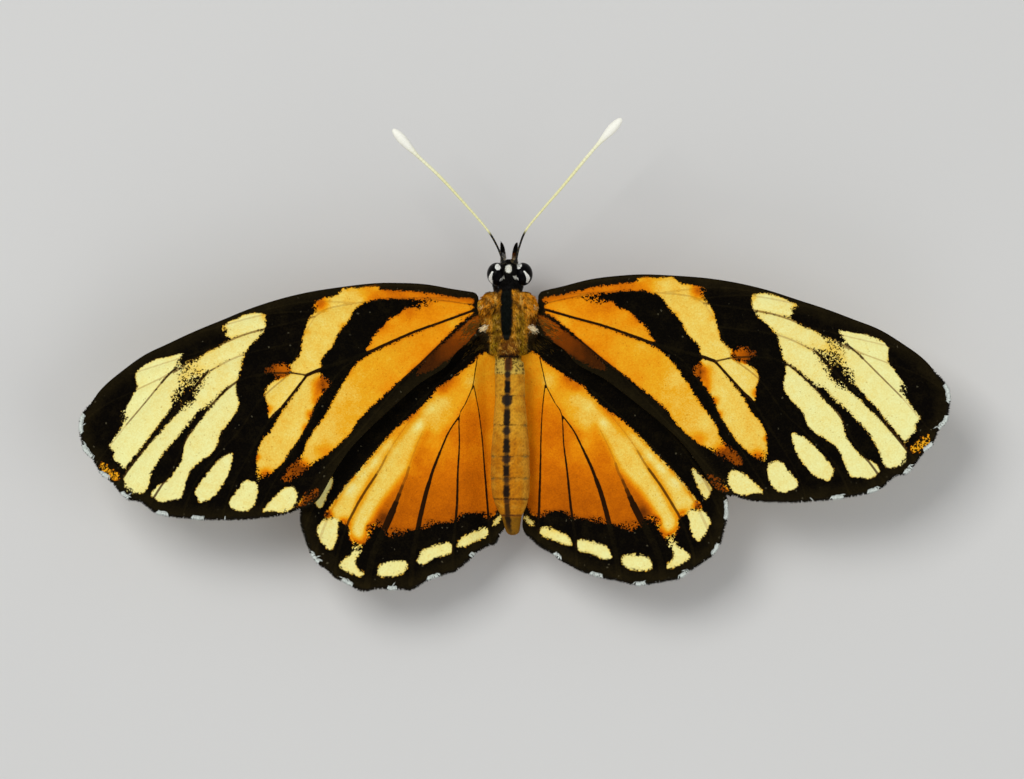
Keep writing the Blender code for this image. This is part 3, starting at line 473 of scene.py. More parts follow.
def swept_left(places, kind):
    """The left wing's places that answer to places on the right wing."""
    hinge, left = np.array(kind["hinge"]), kind["left_hinge"]
    out, forward = (LEFT_REACH * (places - hinge)).T
    cos, sin = math.cos(kind["sweep"]), math.sin(kind["sweep"])
    reach = left[0] + out * cos + forward * sin
    ahead = left[1] - out * sin + forward * cos
    share = clamp01((ahead - TUCK_REAR_AT[0]) / (TUCK_REAR_AT[1] - TUCK_REAR_AT[0]))
    tuck = TUCK_FRONT + (TUCK_REAR - TUCK_FRONT) * share
    tucked = tuck + (reach - TUCK_FROM) * (TUCK_END - tuck) / (TUCK_END - TUCK_FROM)
    reach = np.where(reach < TUCK_END, tucked, reach)
    return np.column_stack([-reach, ahead])


def in_row(places):
    """Metres in the shared frame from plan places and heights in mm."""
    return (np.asarray(places, float) + np.array([*PLAN_SHIFT, 0.0])) * MM


def make_piece(name, places, faces, materials, values=None, uvs=None, which=None, replaces=()):
    """A smooth mesh piece from plan places in mm, riding on the one body."""
    mesh = bpy.data.meshes.new(name)
    mesh.from_pydata(in_row(places).tolist(), [], [list(map(int, f)) for f in faces])
    for key, numbers in (values or {}).items():
        numbers = np.asarray(numbers, np.float32)
        if numbers.ndim == 1:
            mesh.attributes.new(key, "FLOAT", "POINT").data.foreach_set("value", numbers)
        else:
            rgba = np.column_stack([numbers, np.ones(len(numbers), np.float32)]).astype(np.float32)
            mesh.attributes.new(key, "FLOAT_COLOR", "POINT").data.foreach_set("color", rgba.ravel())
    if uvs is not None:
        layer = mesh.uv_layers.new(name="OFBake")
        layer.data.foreach_set("uv", np.asarray(uvs, np.float32).ravel())
    for material in materials:
        mesh.materials.append(material)
    if which is not None:
        mesh.polygons.foreach_set("material_index", np.asarray(which, np.int32))
    mesh.polygons.foreach_set("use_smooth", np.ones(len(mesh.polygons), bool))
    mesh.update()
    piece = bpy.data.objects.new(name, mesh)
    bpy.context.scene.collection.objects.link(piece)
    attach(piece, "root")
    if replaces:
        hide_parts(*replaces)


class Shader:
    """A material whose nodes are written as calls."""

    def __init__(self, name, roughness=0.6, specular=0.25, coat=0.0, coat_roughness=0.1):
        self.material = bpy.data.materials.new(name)
        self.material.use_nodes = True
        self.tree = self.material.node_tree
        self.shader = self.tree.nodes["Principled BSDF"]
        self.place = self.node("TexCoord").outputs["Object"]
        self.set("Roughness", roughness)
        self.set("Specular IOR Level", specular)
        self.set("Coat Weight", coat)
        self.set("Coat Roughness", coat_roughness)

    def node(self, kind, **settings):
        made = self.tree.nodes.new("ShaderNode" + kind)
        for key, value in settings.items():
            setattr(made, key, value)
        return made

    def put(self, socket, value):
        if isinstance(value, bpy.types.NodeSocket):
            self.tree.links.new(value, socket)
        elif socket.type == "RGBA":
            socket.default_value = (*linear(value), 1.0)
        else:
            socket.default_value = value

    def set(self, name, value):
        self.put(self.shader.inputs[name], value)

    def math(self, operation, *values):
        made = self.node("Math", operation=operation)
        for socket, value in zip(made.inputs, values):
            self.put(socket, value)
        return made.outputs[0]

    def spread(self, value, amount):
        """A 0 to 1 pattern as plus or minus amount."""
        return self.math("MULTIPLY", self.math("SUBTRACT", value, 0.5), 2 * amount)

    def total(self, *values):
        found = values[0]
        for value in values[1:]:
            found = self.math("ADD", found, value)
        return found

    def rise(self, value, low, high, at_low=0.0, at_high=1.0):
        made = self.node("MapRange", interpolation_type="SMOOTHSTEP")
        for socket, number in zip(made.inputs, (value, low, high, at_low, at_high)):
            self.put(socket, number)
        return made.outputs[0]

    def attribute(self, name, output="Fac"):
        return self.node("Attribute", attribute_name=name).outputs[output]

    def noise(self, per_mm, detail=2.0):
        made = self.node("TexNoise")
        self.put(made.inputs["Vector"], self.place)
        made.inputs["Scale"].default_value = per_mm / MM
        made.inputs["Detail"].default_value = detail
        return made.outputs[0]

    def cells(self, per_mm, output="random"):
        made = self.node("TexVoronoi")
        self.put(made.inputs["Vector"], self.place)
        made.inputs["Scale"].default_value = per_mm / MM
        if output == "distance":
            return made.outputs["Distance"]
        parts = self.node("SeparateColor")
        self.put(parts.inputs[0], made.outputs["Color"])
        return parts.outputs[0]

    def mix(self, share, first, second):
        made = self.node("Mix", data_type="RGBA")
        for place, value in ((0, share), (6, first), (7, second)):
            self.put(made.inputs[place], value)
        return made.outputs[2]

    def ramp(self, value, stops):
        made = self.node("ValToRGB")
        ramp = made.color_ramp
        while len(ramp.elements) < len(stops):
            ramp.elements.new(1.0)
        for element, (place, colour) in zip(ramp.elements, stops):
            element.position = place
            element.color = (*linear(colour), 1.0)
        self.put(made.inputs[0], value)
        return made.outputs[0]

    def bump(self, height, depth_mm, strength=1.0):
        made = self.node("Bump")
        made.inputs["Strength"].default_value = strength
        made.inputs["Distance"].default_value = depth_mm * MM
        self.put(made.inputs["Height"], height)
        self.set("Normal", made.outputs[0])


WARMEST = 1.8
WARMTHS = (
    (0.0, (241, 238, 164)), (0.12, (240, 229, 146)), (0.3, (240, 206, 92)), (0.5, (236, 170, 30)),
    (0.7, (232, 140, 8)), (0.9, (210, 110, 3)), (1.1, (176, 86, 2)), (1.35, (112, 50, 3)),
    (1.65, (56, 24, 3)))
BLACK = (5, 3, 1)
BLACK_BROWN = (40, 32, 12)
HALO_BROWN = (84, 40, 5)
VEIN_BROWN = (36, 17, 3)
FAINT_VEIN = (176, 98, 18)


def wing_material(name, under=False):
    """Scales in light marks on black-brown, from the mark, warmth and vein fields of a wing's mesh."""
    s = Shader(name, roughness=0.8, specular=0.03)
    cell = s.cells(11.0)
    rough_edge = s.noise(3.6, 3.0)
    blotch = s.noise(1.1, 4.0)
    mark, dust, tone = s.attribute("mark"), s.attribute("dust"), s.attribute("tone")
    loose = s.math("MULTIPLY", s.spread(cell, 1.0), dust)
    clumps = s.math("MULTIPLY", s.spread(s.noise(4.5, 2.0), 1.2), dust)
    edge = s.total(mark, s.spread(rough_edge, 0.11), loose, clumps)
    soft = s.total(s.math("MULTIPLY", dust, 0.32), 0.02)
    light = s.rise(edge, s.math("MULTIPLY", soft, -1.0), soft)
    warmth = s.total(s.attribute("warm"), s.spread(blotch, 0.13), s.spread(cell, 0.045),
                     s.rise(edge, 0.2, 0.0, 0.0, 0.1), s.rise(dust, 0.12, 0.6, 0.0, 0.06))
    colour = s.ramp(s.math("DIVIDE", warmth, WARMEST), [(w / WARMEST, c) for w, c in WARMTHS])
    colour = s.mix(s.rise(cell, 0.0, 1.0, 0.0, 0.06), colour, (150, 84, 10))
    vein = s.total(s.attribute("vein"), s.spread(rough_edge, 0.03))
    line = s.math("MULTIPLY", s.rise(vein, -0.035, 0.015), tone)
    colour = s.mix(line, colour, s.mix(tone, FAINT_VEIN, VEIN_BROWN))
    colour = s.mix(s.rise(cell, 0.988, 0.992, 0.0, 0.22), colour, (120, 60, 8))
    # Browner blotches, margin and scales on the black; the veins there are lighter as a painted highlight of
    # their raised ridges
    browning_and_vein_highlight = s.total(s.rise(blotch, 0.4, 0.8, 0.0, 0.22), s.rise(s.attribute("margin"), 1.3, 0.1, 0.0, 0.36),
                    s.rise(vein, -0.06, 0.04, 0.0, 0.16), s.spread(cell, 0.1))
    dark = s.mix(browning_and_vein_highlight, BLACK, BLACK_BROWN)
    dark = s.mix(s.rise(edge, -0.07, 0.0, 0.0, 0.35), dark, HALO_BROWN)
    dark = s.mix(s.rise(s.cells(9.0), 0.995, 0.998, 0.0, 0.2), dark, (140, 130, 100))
    colour = s.mix(light, dark, colour)
    if under:
        colour = s.mix(0.38, colour, (196, 150, 84))
    s.set("Base Color", colour)
    s.bump(s.total(s.cells(11.0, "distance"), s.math("MULTIPLY", rough_edge, 1.5)), 0.03, 0.4)
    return s.material


def tinted_material(name, roughness, specular, variation=0.2, per_mm=6.0, depth_mm=0.02, coat=0.0):
    """A finish that takes its markings from the mesh, with fine variation and relief."""
    s = Shader(name, roughness=roughness, specular=specular, coat=coat)
    grain = s.noise(per_mm, 4.0)
    tint = s.attribute("tint", "Color")
    s.set("Base Color", s.mix(s.rise(grain, 0.3, 0.7, 0.0, variation), tint, (20, 14, 8)))
    s.bump(s.total(grain, s.cells(per_mm * 1.7, "distance")), depth_mm, 0.6)
    return s.material


def eye_material():
    """Glossy black-brown eye with its fine facets."""
    s = Shader("compound_eye", roughness=0.3, specular=0.03, coat=0.01, coat_roughness=0.08)
    facets = s.cells(24.0, "distance")
    tone = s.mix(s.rise(s.noise(1.6, 2.0), 0.3, 0.7), (2, 2, 2), (6, 4, 4))
    # The bluish facet rims are a faint painted reflection
    s.set("Base Color", s.mix(s.rise(facets, 0.2, 0.6, 0.0, 0.3), tone, (8, 8, 13)))
    s.bump(facets, 0.012, 0.5)
    return s.material


def left_shift(places, kind):
    """How far the left wing's marks and veins lie from the mirrored ones, at places of the right wing."""
    total, shift = np.full(len(places), 0.1), np.zeros_like(places)
    for u, v, out, forward in HIND_LEFT_SHIFTS if kind["below"] else FORE_LEFT_SHIFTS:
        weight = bell(places, u, v, SHIFT_REACH)
        total += weight
        shift += weight[:, None] * (out, forward)
    return shift / total[:, None]


def vein_path(path, kind, left, step):
    """A vein's middle line, shifted on the left wing as its marks are."""
    middle = spline(path, step)
    return middle + left_shift(middle, kind) if left else middle


def wing_rim(kind, left):
    """The rim of a wing's sheet, which lies inside the fringe, the way inward, and the share of fringe."""
    curve = spline(kind["outline"], GRID)
    across = curve[0] - curve[-1]
    steps = max(1, int(round(math.hypot(*across) / GRID)))
    rim = np.vstack([curve, curve[-1] + across * (np.arange(1, steps) / steps)[:, None]])
    if left and kind["below"]:
        for u, v, reach, out, forward in HIND_LEFT_BULGES:
            rim = rim + bell(rim, u, v, reach)[:, None] * (out, forward)
    ahead = np.roll(rim, -1, axis=0) - np.roll(rim, 1, axis=0)
    inward = np.column_stack([ahead[:, 1], -ahead[:, 0]]) / np.hypot(*ahead.T)[:, None]
    if ring_distance(rim[:1] + 0.1 * inward[:1], rim)[0] < 0:
        inward = -inward
    u, v = rim.T
    if kind["below"]:
        fringed = (v < HIND_FRINGE_FROM) & ((u > HIND_FRINGE_CORNER[0]) | (v < HIND_FRINGE_CORNER[1]))
    else:
        fringed = (u > FORE_FRINGE_FROM[0]) & (v < FORE_FRINGE_FROM[1])
    share = fringed.astype(float)
    for _ in range(FRINGE_ROUNDS):
        share = (np.roll(share, 1) + share + np.roll(share, -1)) / 3
    return rim + inward * (FRINGE_INSET * share)[:, None], inward, share


def wing_filling(kind, left, inner):
    """Places within a wing's sheet: rows along its veins, then an even filling between them."""
    lines = []
    for _, _, path in kind["veins"]:
        middle = vein_path(path, kind, left, VEIN_STEP)
        run = np.gradient(middle, axis=0)
        side = np.column_stack([-run[:, 1], run[:, 0]]) / np.hypot(*run.T)[:, None]
        lines += [middle, middle + VEIN_ROW * side, middle - VEIN_ROW * side]
    kept, cells = [], set()
    for place in np.vstack(lines[0::3] + lines[1::3] + lines[2::3]):
        key = (int(place[0] // CROWDED), int(place[1] // CROWDED))
        if not any((key[0] + a, key[1] + b) in cells for a in (-1, 0, 1) for b in (-1, 0, 1)):
            cells.add(key)
            kept.append(place)
    kept = np.array(kept)
    kept = kept[ring_distance(kept, inner) > RIM_GAP]
    low, high = inner.min(0), inner.max(0)
    rows = np.arange(low[1], high[1], GRID * ROW_SHARE)
    columns = np.arange(low[0], high[0], GRID)
    fill = np.array([(x + 0.5 * GRID * (i % 2), y) for i, y in enumerate(rows) for x in columns])
    fill = fill[ring_distance(fill, inner) > RIM_GAP]
    tree = kdtree.KDTree(len(kept))
    for i, place in enumerate(kept):
        tree.insert((*place, 0.0), i)
    tree.balance()
    fill = fill[[tree.find((*place, 0.0))[2] > VEIN_GAP for place in fill]]
    return np.vstack([kept, fill])


def wing_fields(kind, places, inner, left):
    """The mark, warmth, looseness, vein and margin fields at places of a wing's mesh."""
    looked = places - left_shift(places, kind) if left else places
    hinge = np.array(kind["hinge"])
    radius = np.hypot(*(looked - hinge).T)
    mark = np.full(len(places), -1.3)
    warm = np.full(len(places), 1.2)
    dust = np.full(len(places), 0.05)
    loose = np.zeros(len(places))
    for u, v, reach, spread in kind["dusty_places"]:
        loose = np.maximum(loose, spread * bell(looked, u, v, reach))
    for ragged, at_root, at_end, points in kind["marks"]:
        ring = spline(points, 0.15, closed=True)
        distance = ring_distance(looked, ring)
        reach = np.hypot(*(ring - hinge).T)
        share = smooth(radius, reach.min(), reach.max())
        cover = np.where(mark > 0.08, smooth(distance, -0.4, 0.45), smooth(distance + loose, -0.3, 0.0))
        warm += cover * (at_root + (at_end - at_root) * share - warm)
        dust += cover * (1.5 * ragged - dust)
        mark = np.maximum(mark, distance)
    for u, v, reach, change in kind["warm_places"]:
        warm += change * bell(looked, u, v, reach)
    dust = np.maximum(dust, loose)
    nearest = np.full(len(places), 9.0)
    vein = np.full(len(places), -1.0)
    tone = np.zeros(len(places))
    if kind["below"]:
        thick = 0.5 + 1.2 * smooth(radius, 4.0, 14.0)
    else:
        thick = 0.75 + 0.3 * smooth(radius, 2.0, 12.0)
    for half, strength, path in kind["veins"]:
        distance = path_distance(places, vein_path(path, kind, left, 0.3))
        nearest = np.minimum(nearest, distance)
        tone = np.where(half * thick - distance > vein, strength, tone)
        vein = np.maximum(vein, half * thick - distance)
    margin = ring_distance(places, inner)
    return dict(mark=mark, warm=warm, dust=dust, vein=vein, tone=tone, margin=margin), nearest


def wing_unwrap(flat, faces, loop):
    """UVs of a wing's two faces side by side, and of its rim in rows beside them."""
    size = flat.max(0) - flat.min(0)
    wide = size[0] > size[1]
    apart = size.min() + UV_GAP
    scale = UV_FACES / (2 * size.min() + UV_GAP)
    base = (flat - flat.min(0)) * scale + UV_EDGE
    below = base[faces[:, ::-1]] + np.array((0, apart) if wide else (apart, 0)) * scale
    strip = []
    along = 0.0
    for i in range(len(loop)):
        step = max(float(np.hypot(*(flat[loop[i]] - flat[loop[i - 1]]))), 0.01) * scale
        row = int(along // UV_ROW_LENGTH)
        x, y = UV_EDGE + along - UV_ROW_LENGTH * row, UV_ROWS_FROM + UV_ROW_STEP * row
        strip.append(((x + step, y), (x, y), (x, y + UV_ROW_WIDTH), (x + step, y + UV_ROW_WIDTH)))
        along += step
    strip = np.array(strip).reshape(-1, 2)
    return np.vstack([base[faces].reshape(-1, 2), below.reshape(-1, 2), strip if wide else strip[:, ::-1]])


def wing(name, kind, left, upper, under, node):
    """One wing: a thin sheet with raised veins and its markings on both faces."""
    inner, inward, share = wing_rim(kind, left)
    places = [Vector(p) for p in np.vstack([inner, wing_filling(kind, left, inner)])]
    count = len(inner)
    edges = [(i, (i + 1) % count) for i in range(count)]
    found = delaunay_2d_cdt(places, edges, [list(range(count))], 1, 1e-5)
    flat = np.array([tuple(p) for p in found[0]])
    faces = np.array(found[2])
    new_of = {}
    for i, olds in enumerate(found[3]):
        for old in olds:
            new_of[old] = i
    loop = [new_of[i] for i in range(count)]
    values, nearest = wing_fields(kind, flat, inner, left)
    ridge = VEIN_RISE * np.exp(-(nearest / VEIN_ROUND) ** 2) * smooth(values["margin"], 0.0, 0.3)
    sag = PLEAT_SAG * smooth(nearest, 0.0, 0.9) * smooth(values["margin"], 0.0, 1.2)
    placed = swept_left(flat, kind) if left else flat
    height = wing_height(placed, kind["below"])
    top = np.column_stack([placed, height + ridge - sag + SHEET / 2])
    low = np.column_stack([placed, height - 0.5 * ridge - sag - SHEET / 2])
    total = len(flat)
    if left:
        faces = faces[:, ::-1]
        loop = loop[::-1]
    rim_faces = [(loop[i], loop[i - 1], loop[i - 1] + total, loop[i] + total) for i in range(len(loop))]
    all_faces = faces.tolist() + (faces[:, ::-1] + total).tolist() + rim_faces
    which = [0] * len(faces) + [1] * len(faces) + [1] * len(rim_faces)
    doubled = {key: np.concatenate([number, number]) for key, number in values.items()}
    make_piece(name, np.vstack([top, low]), all_faces, [upper, under], values=doubled,
               uvs=wing_unwrap(flat, faces, loop), which=which, replaces=[node])
    return inner, inward, share


TUFT_SIDES = 3
TUFT_POINTS = 2 * TUFT_SIDES + 1
PATCH = 0.003
# Painted shade at each tuft's root and painted light at its tip, as factors on its tint
ROOT_PAINTED_SHADE = 0.72
TIP_PAINTED_LIGHT = 1.15


def tuft_template():
    """Faces of one tuft, a three-sided spike of two rings and a tip, and the UVs of their corners."""
    faces, uvs = [], []
    for k in range(TUFT_SIDES):
        n = (k + 1) % TUFT_SIDES
        left, right = k / TUFT_SIDES, (k + 1) / TUFT_SIDES
        faces.append((k, n, TUFT_SIDES + n, TUFT_SIDES + k))
        uvs += [(left, 0.2), (right, 0.2), (right, 0.6), (left, 0.6)]
        faces.append((TUFT_SIDES + k, TUFT_SIDES + n, 2 * TUFT_SIDES))
        uvs += [(left, 0.6), (right, 0.6), ((left + right) / 2, 1.0)]
    faces.append((2, 1, 0))
    uvs += [(1.0, 0.0), (0.5, 0.15), (0.0, 0.0)]
    return faces, np.array(uvs)


TUFT_FACES, TUFT_UVS = tuft_template()


def tufts(name, material, roots, normals, lie, length, width, lift, tint, unwrap, seed, flatness=0.5,
          spread=0.25, sink=0.03, sizes=(0.75, 1.2)):
    """Many small tufts as one mesh: each springs from its root along lie and bends down onto the surface.
    Each is darker at its root as painted shade and lighter at its tip as painted light.
    """
    rng = np.random.default_rng(seed)
    count = len(roots)
    normals = unit(normals)
    lie = unit(lie + rng.normal(0, spread, (count, 3)))
    along = unit(lie - (lie * normals).sum(1)[:, None] * normals)
    side = np.cross(normals, along)
    length = np.broadcast_to(length, count) * rng.uniform(*sizes, count)
    width = np.broadcast_to(width, count) * rng.uniform(0.8, 1.2, count)
    lift = np.broadcast_to(lift, count) * rng.uniform(0.5, 1.5, count)
    first = along * np.cos(lift)[:, None] + normals * np.sin(lift)[:, None]
    last = along * np.cos(0.35 * lift)[:, None] + normals * np.sin(0.35 * lift)[:, None]
    start = roots - sink * normals
    middle = start + first * (0.5 * length + sink)[:, None]
    tip = middle + last * (0.5 * length)[:, None]
    places = np.empty((count, TUFT_POINTS, 3))
    for k, (across, up) in enumerate(((-0.5, -0.3), (0.5, -0.3), (0.0, 0.6))):
        offset = side * (across * width)[:, None] + normals * (up * flatness * width)[:, None]
        places[:, k] = start + offset * 0.8
        places[:, TUFT_SIDES + k] = middle + offset
    places[:, -1] = tip
    places[:, :, 2] = np.maximum(places[:, :, 2], 0.0)
    faces = [[i * TUFT_POINTS + corner for corner in face] for i in range(count) for face in TUFT_FACES]
    # Painted shade: tufts darker at the root, where the coat shades them; painted light: lighter at the tip
    painted_light_and_shade = np.array([ROOT_PAINTED_SHADE] * TUFT_SIDES + [1.0] * TUFT_SIDES + [TIP_PAINTED_LIGHT])
    tints = tint[:, None, :] * painted_light_and_shade[None, :, None] * rng.uniform(0.85, 1.12, (count, 1, 1))
    uvs = unwrap(roots)[:, None, :] * 0.99 + TUFT_UVS[None] * PATCH
    make_piece(name, places.reshape(-1, 3), faces, [material],
               values={"tint": clamp01(tints.reshape(-1, 3))}, uvs=uvs.reshape(-1, 2))


def fringe(name, kind, left, inner, inward, share, material, seed):
    """The short fringe scales of a wing's outer margin, black with white checks."""
    rng = np.random.default_rng(seed)
    at = np.flatnonzero(share > 0.25)
    index = np.repeat(at, FRINGE_EACH)
    slide = rng.uniform(0, 1, len(index))[:, None]
    root = inner[index] * (1 - slide) + inner[(index + 1) % len(inner)] * slide
    outward = -inward[index]
    row = rng.integers(0, 2, len(index))
    white = np.zeros(len(index))
    for u, v, half in kind["checks"][1 if left and kind["below"] else 0:]:
        white = np.maximum(white, smooth(half - np.hypot(*(root - (u, v)).T), -0.12, 0.1))
    white = rng.uniform(0, 1, len(index)) < white * CHECK_WHITE
    inset = FRINGE_ROOT + CHECK_DEEPER * white * rng.uniform(0, 1, len(index))
    reach = (FRINGE_INSET * share[index] + inset) * np.where(row | white, 1.0, 0.75)
    root = root - outward * inset[:, None]
    tip = root + outward * 0.1
    tint = np.where(white[:, None], linear(FRINGE_WHITE), linear(FRINGE_BLACK))
    if left:
        root, tip = swept_left(root, kind), swept_left(tip, kind)
    height = wing_height(root, kind["below"]) + np.where(white, 0.045, np.where(row, -0.01, 0.025))
    roots = np.column_stack([root, height])
    lie = np.column_stack([tip - root, np.zeros(len(root))])
    normals = np.tile((0.0, 0.0, 1.0), (len(root), 1))
    low = roots.min(0)[:2]
    span = (roots.max(0)[:2] - low).max()
    tufts(name, material, roots, normals, lie, reach, FRINGE_WIDTH, 0.03, tint,
          lambda p: (p[:, :2] - low) / span, seed, flatness=0.35, spread=0.05, sink=0.0, sizes=(0.88, 1.0))


# Body: middles and half sizes of its masses, inside the solids by the depth of the coat
TRUNK_MASSES = (
    ((0.13, 2.38, 5.75), (0.92, 0.92, 1.02)), ((0.13, 1.72, 5.7), (1.0, 0.5, 0.85)),
    ((0.13, 2.84, 5.3), (0.64, 0.56, 0.68)), ((0.11, 1.25, 5.65), (0.8, 0.6, 0.85)),
    ((0, 0.5, 5.6), (1.0, 0.85, 1.1)), ((0, -0.75, 5.5), (1.4, 1.75, 1.66)),
    ((0, -2.75, 5.35), (1.22, 1.35, 1.36)), ((0, -3.7, 5.4), (0.95, 0.6, 0.98)))
PAIRED_MASSES = (
    ((1.2, -0.45, 5.95), (0.92, 1.55, 0.45)), ((1.0, -2.7, 5.0), (0.72, 0.85, 0.42)),
    ((1.55, 0.03, 6.9), (0.6, 0.76, 0.23)), ((1.5, -2.05, 5.5), (0.55, 0.6, 0.4)),
    ((0.62, 0.75, 4.1), (0.34, 0.4, 1.0)), ((0.85, -0.75, 4.0), (0.45, 0.55, 1.0)),
    ((0.8, -2.45, 3.9), (0.45, 0.55, 0.9)))
COAT_DEPTH = 0.07
# Half widths of the abdomen: forward, half width
ABDOMEN_PROFILE = (
    (-4.0, 1.1), (-4.9, 1.15), (-5.8, 1.14), (-6.6, 1.15), (-7.7, 1.22), (-8.7, 1.3), (-9.9, 1.39),
    (-11.0, 1.45), (-11.8, 1.47), (-12.5, 1.47), (-13.2, 1.44), (-13.9, 1.35), (-14.4, 1.22),
    (-14.9, 0.98), (-15.25, 0.82), (-15.9, 0.66), (-16.4, 0.55), (-16.62, 0.3))
# The abdomen leans a little to the right: distance behind the hinges, outward
ABDOMEN_AXIS = (
    (3.8, 0.07), (5.0, 0.14), (8.75, 0.17), (13.0, 0.17), (14.4, 0.22), (15.3, 0.26), (16.6, 0.36))
ABDOMEN_JOINTS = (-4.95, -6.5, -8.65, -10.9, -12.5, -14.0, -15.15)
ABDOMEN_FRONT_Z = 5.5
ABDOMEN_TIP_Z = 5.1
ABDOMEN_DEPTH = 0.94
ABDOMEN_SIDES = 48
SEGMENT_SWELL = 0.035
SEGMENT_STEP = 0.05
SKIN_VOXEL = 0.085
# Hairs or scales on each square mm
THORAX_HAIRS = 240.0
ABDOMEN_SCALES = 130.0
HEAD_HAIRS = 260.0
EYE_OUT = 0.94
EYE_PLACE = (2.32, 5.82)
EYE_HALF = (0.72, 0.84, 0.96)

# Dark marks down the middle of the abdomen: front, rear, half width, strength, and whether it is rounded
BACK_DASHES = (
    (-4.75, -5.2, 0.25, 0.9, True), (-5.42, -6.32, 0.22, 1.0, False), (-6.36, -7.26, 0.4, 0.95, True),
    (-7.5, -8.62, 0.24, 0.95, False), (-8.72, -9.38, 0.31, 0.9, True), (-9.62, -10.62, 0.24, 0.95, False),
    (-10.8, -11.4, 0.33, 0.85, True), (-11.56, -12.35, 0.26, 0.95, False), (-12.42, -12.8, 0.3, 0.6, True),
    (-13.0, -13.85, 0.24, 0.95, False), (-13.95, -14.3, 0.24, 0.5, True), (-14.4, -15.1, 0.2, 0.6, False),
    (-15.3, -16.5, 0.2, 0.85, False))
# The line of these marks, which lies a little left of the middle: forward, outward
BACK_LINE = ((-4.0, 0.0), (-8.8, -0.09), (-11.5, -0.12), (-13.8, -0.11), (-15.0, -0.04), (-16.5, 0.08))
# The dark stripe of the thorax: forward, half width
STRIPE_AXIS = -0.11
STRIPE = ((-2.44, 0.1), (-2.38, 0.22), (-2.1, 0.32), (-1.5, 0.4), (-0.3, 0.45), (0.5, 0.42), (1.3, 0.37))
# White marks of the head: outward, forward, half width, half length, turn in degrees, lightness
HEAD_MARKS = (
    (0.04, 2.74, 0.22, 0.27, 0, 1.0), (-0.75, 2.87, 0.17, 0.22, 28, 1.0),
    (0.83, 2.95, 0.17, 0.21, -32, 1.0), (-0.44, 2.02, 0.21, 0.07, 45, 0.6),
    (0.58, 2.08, 0.22, 0.08, -36, 0.8), (-0.25, 3.52, 0.09, 0.27, 12, 1.0))
# White bows behind the eyes, each from its front end to its rear end, and their widest half width
EYE_BOWS = (
    ((-1.14, 2.52), (-1.24, 2.3), (-1.3, 2.02), (-1.2, 1.7)),
    ((1.19, 2.56), (1.34, 2.35), (1.48, 2.08), (1.42, 1.74)))
EYE_BOW_HALF = 0.12
EYE_BOW_AREA = 0.3
WHITE_SCALES = 1400.0
SCALE_WHITE = (252, 251, 240)

ANTENNAE = {
    "right": ((0.52, 3.1, 6.72), (0.63, 3.5, 6.95), (0.82, 4.3, 7.2), (1.32, 5.5, 7.55), (2.54, 7.0, 8.05),
              (3.99, 8.66, 8.6), (6.21, 11.32, 9.35), (8.19, 13.49, 9.85)),
    "left": ((-0.3, 3.1, 6.72), (-0.45, 3.5, 6.95), (-0.8, 4.35, 7.2), (-1.45, 5.44, 7.55),
             (-2.78, 7.0, 8.0), (-4.85, 9.25, 8.75), (-6.66, 10.95, 9.3), (-8.3, 12.72, 9.75))}
BASE_RADIUS = 0.074
SHAFT_RADIUS = 0.12
CLUB_WIDEST = 0.35
CLUB_LENGTH = 2.9
CLUB_TIP = 1.05
ANTENNA_BLACK = 2.5
ANTENNA_RING = 0.3
PALP = (
    (0.5, 3.0, 4.5), (0.49, 3.25, 4.32), (0.48, 3.5, 4.3), (0.51, 3.9, 4.62), (0.57, 4.33, 5.16),
    (0.63, 4.58, 5.54))
PALP_RADII = (0.15, 0.18, 0.19, 0.17, 0.12, 0.04)
PALP_HAIRS = 190.0
PALP_WHITE = (255, 254, 244)
PROBOSCIS_CENTRE = (2.5, 3.4)
PROBOSCIS_OUTER = 0.74
PROBOSCIS_TURNS = 2.6
PROBOSCIS_STEPS = 150
# Legs of the right side: outward, forward, height, radius
LEGS = {
    "fore": ((0.62, 0.75, 2.98, 0.27), (0.78, 1.0, 2.72, 0.3), (0.95, 1.6, 2.85, 0.3),
             (0.98, 2.25, 3.3, 0.28), (0.92, 2.75, 3.85, 0.2)),
    "mid": ((0.95, -0.75, 2.98, 0.3), (1.15, -0.7, 2.75, 0.34), (1.6, -0.6, 2.85, 0.36),
            (2.8, -0.35, 3.75, 0.36), (3.95, -0.1, 4.4, 0.34), (4.45, 0, 4.4, 0.32),
            (4.95, 0.1, 3.95, 0.3), (5.95, 0.4, 1.95, 0.28), (6.65, 0.6, 0.55, 0.28),
            (6.95, 0.68, 0.2, 0.3), (7.5, 0.8, 0.18, 0.3), (9.1, 1.2, 0.18, 0.29),
            (9.6, 1.35, 0.2, 0.27)),
    "hind": ((0.85, -2.45, 2.98, 0.3), (1.05, -2.6, 2.72, 0.34), (1.45, -3.0, 2.7, 0.36),
             (2.4, -4.4, 3.3, 0.36), (3.3, -6.0, 3.75, 0.34), (3.6, -6.6, 3.75, 0.32),
             (3.85, -7.1, 3.4, 0.3), (4.6, -8.6, 1.8, 0.28), (5.15, -9.8, 0.55, 0.28),
             (5.3, -10.1, 0.2, 0.3), (5.5, -10.6, 0.18, 0.3), (6.1, -12.4, 0.18, 0.29),
             (6.25, -12.9, 0.2, 0.27))}
LEG_SLIM = 0.62
LEG_SIDES = 16
TARSUS_BELOW = 0.45
TARSUS_RING = 0.62
FORE_LEG_HAIRS = 60.0
LEG_HAIRS = 26.0
FOOT_HAIRS = 3.0
CLAW = 0.3
# Hair over the wing roots: wing, tries, then the corners of the patch it grows in
ROOT_HAIRS = ((FORE, 1500, (1.3, -2.6), (3.9, 1.0)), (HIND, 1300, (1.2, -5.2), (3.4, -2.3)))
WHITE_TUFT = 130
WHITE_TUFT_AT = (1.7, -1.56)
WHITE_TUFT_Z = 6.5


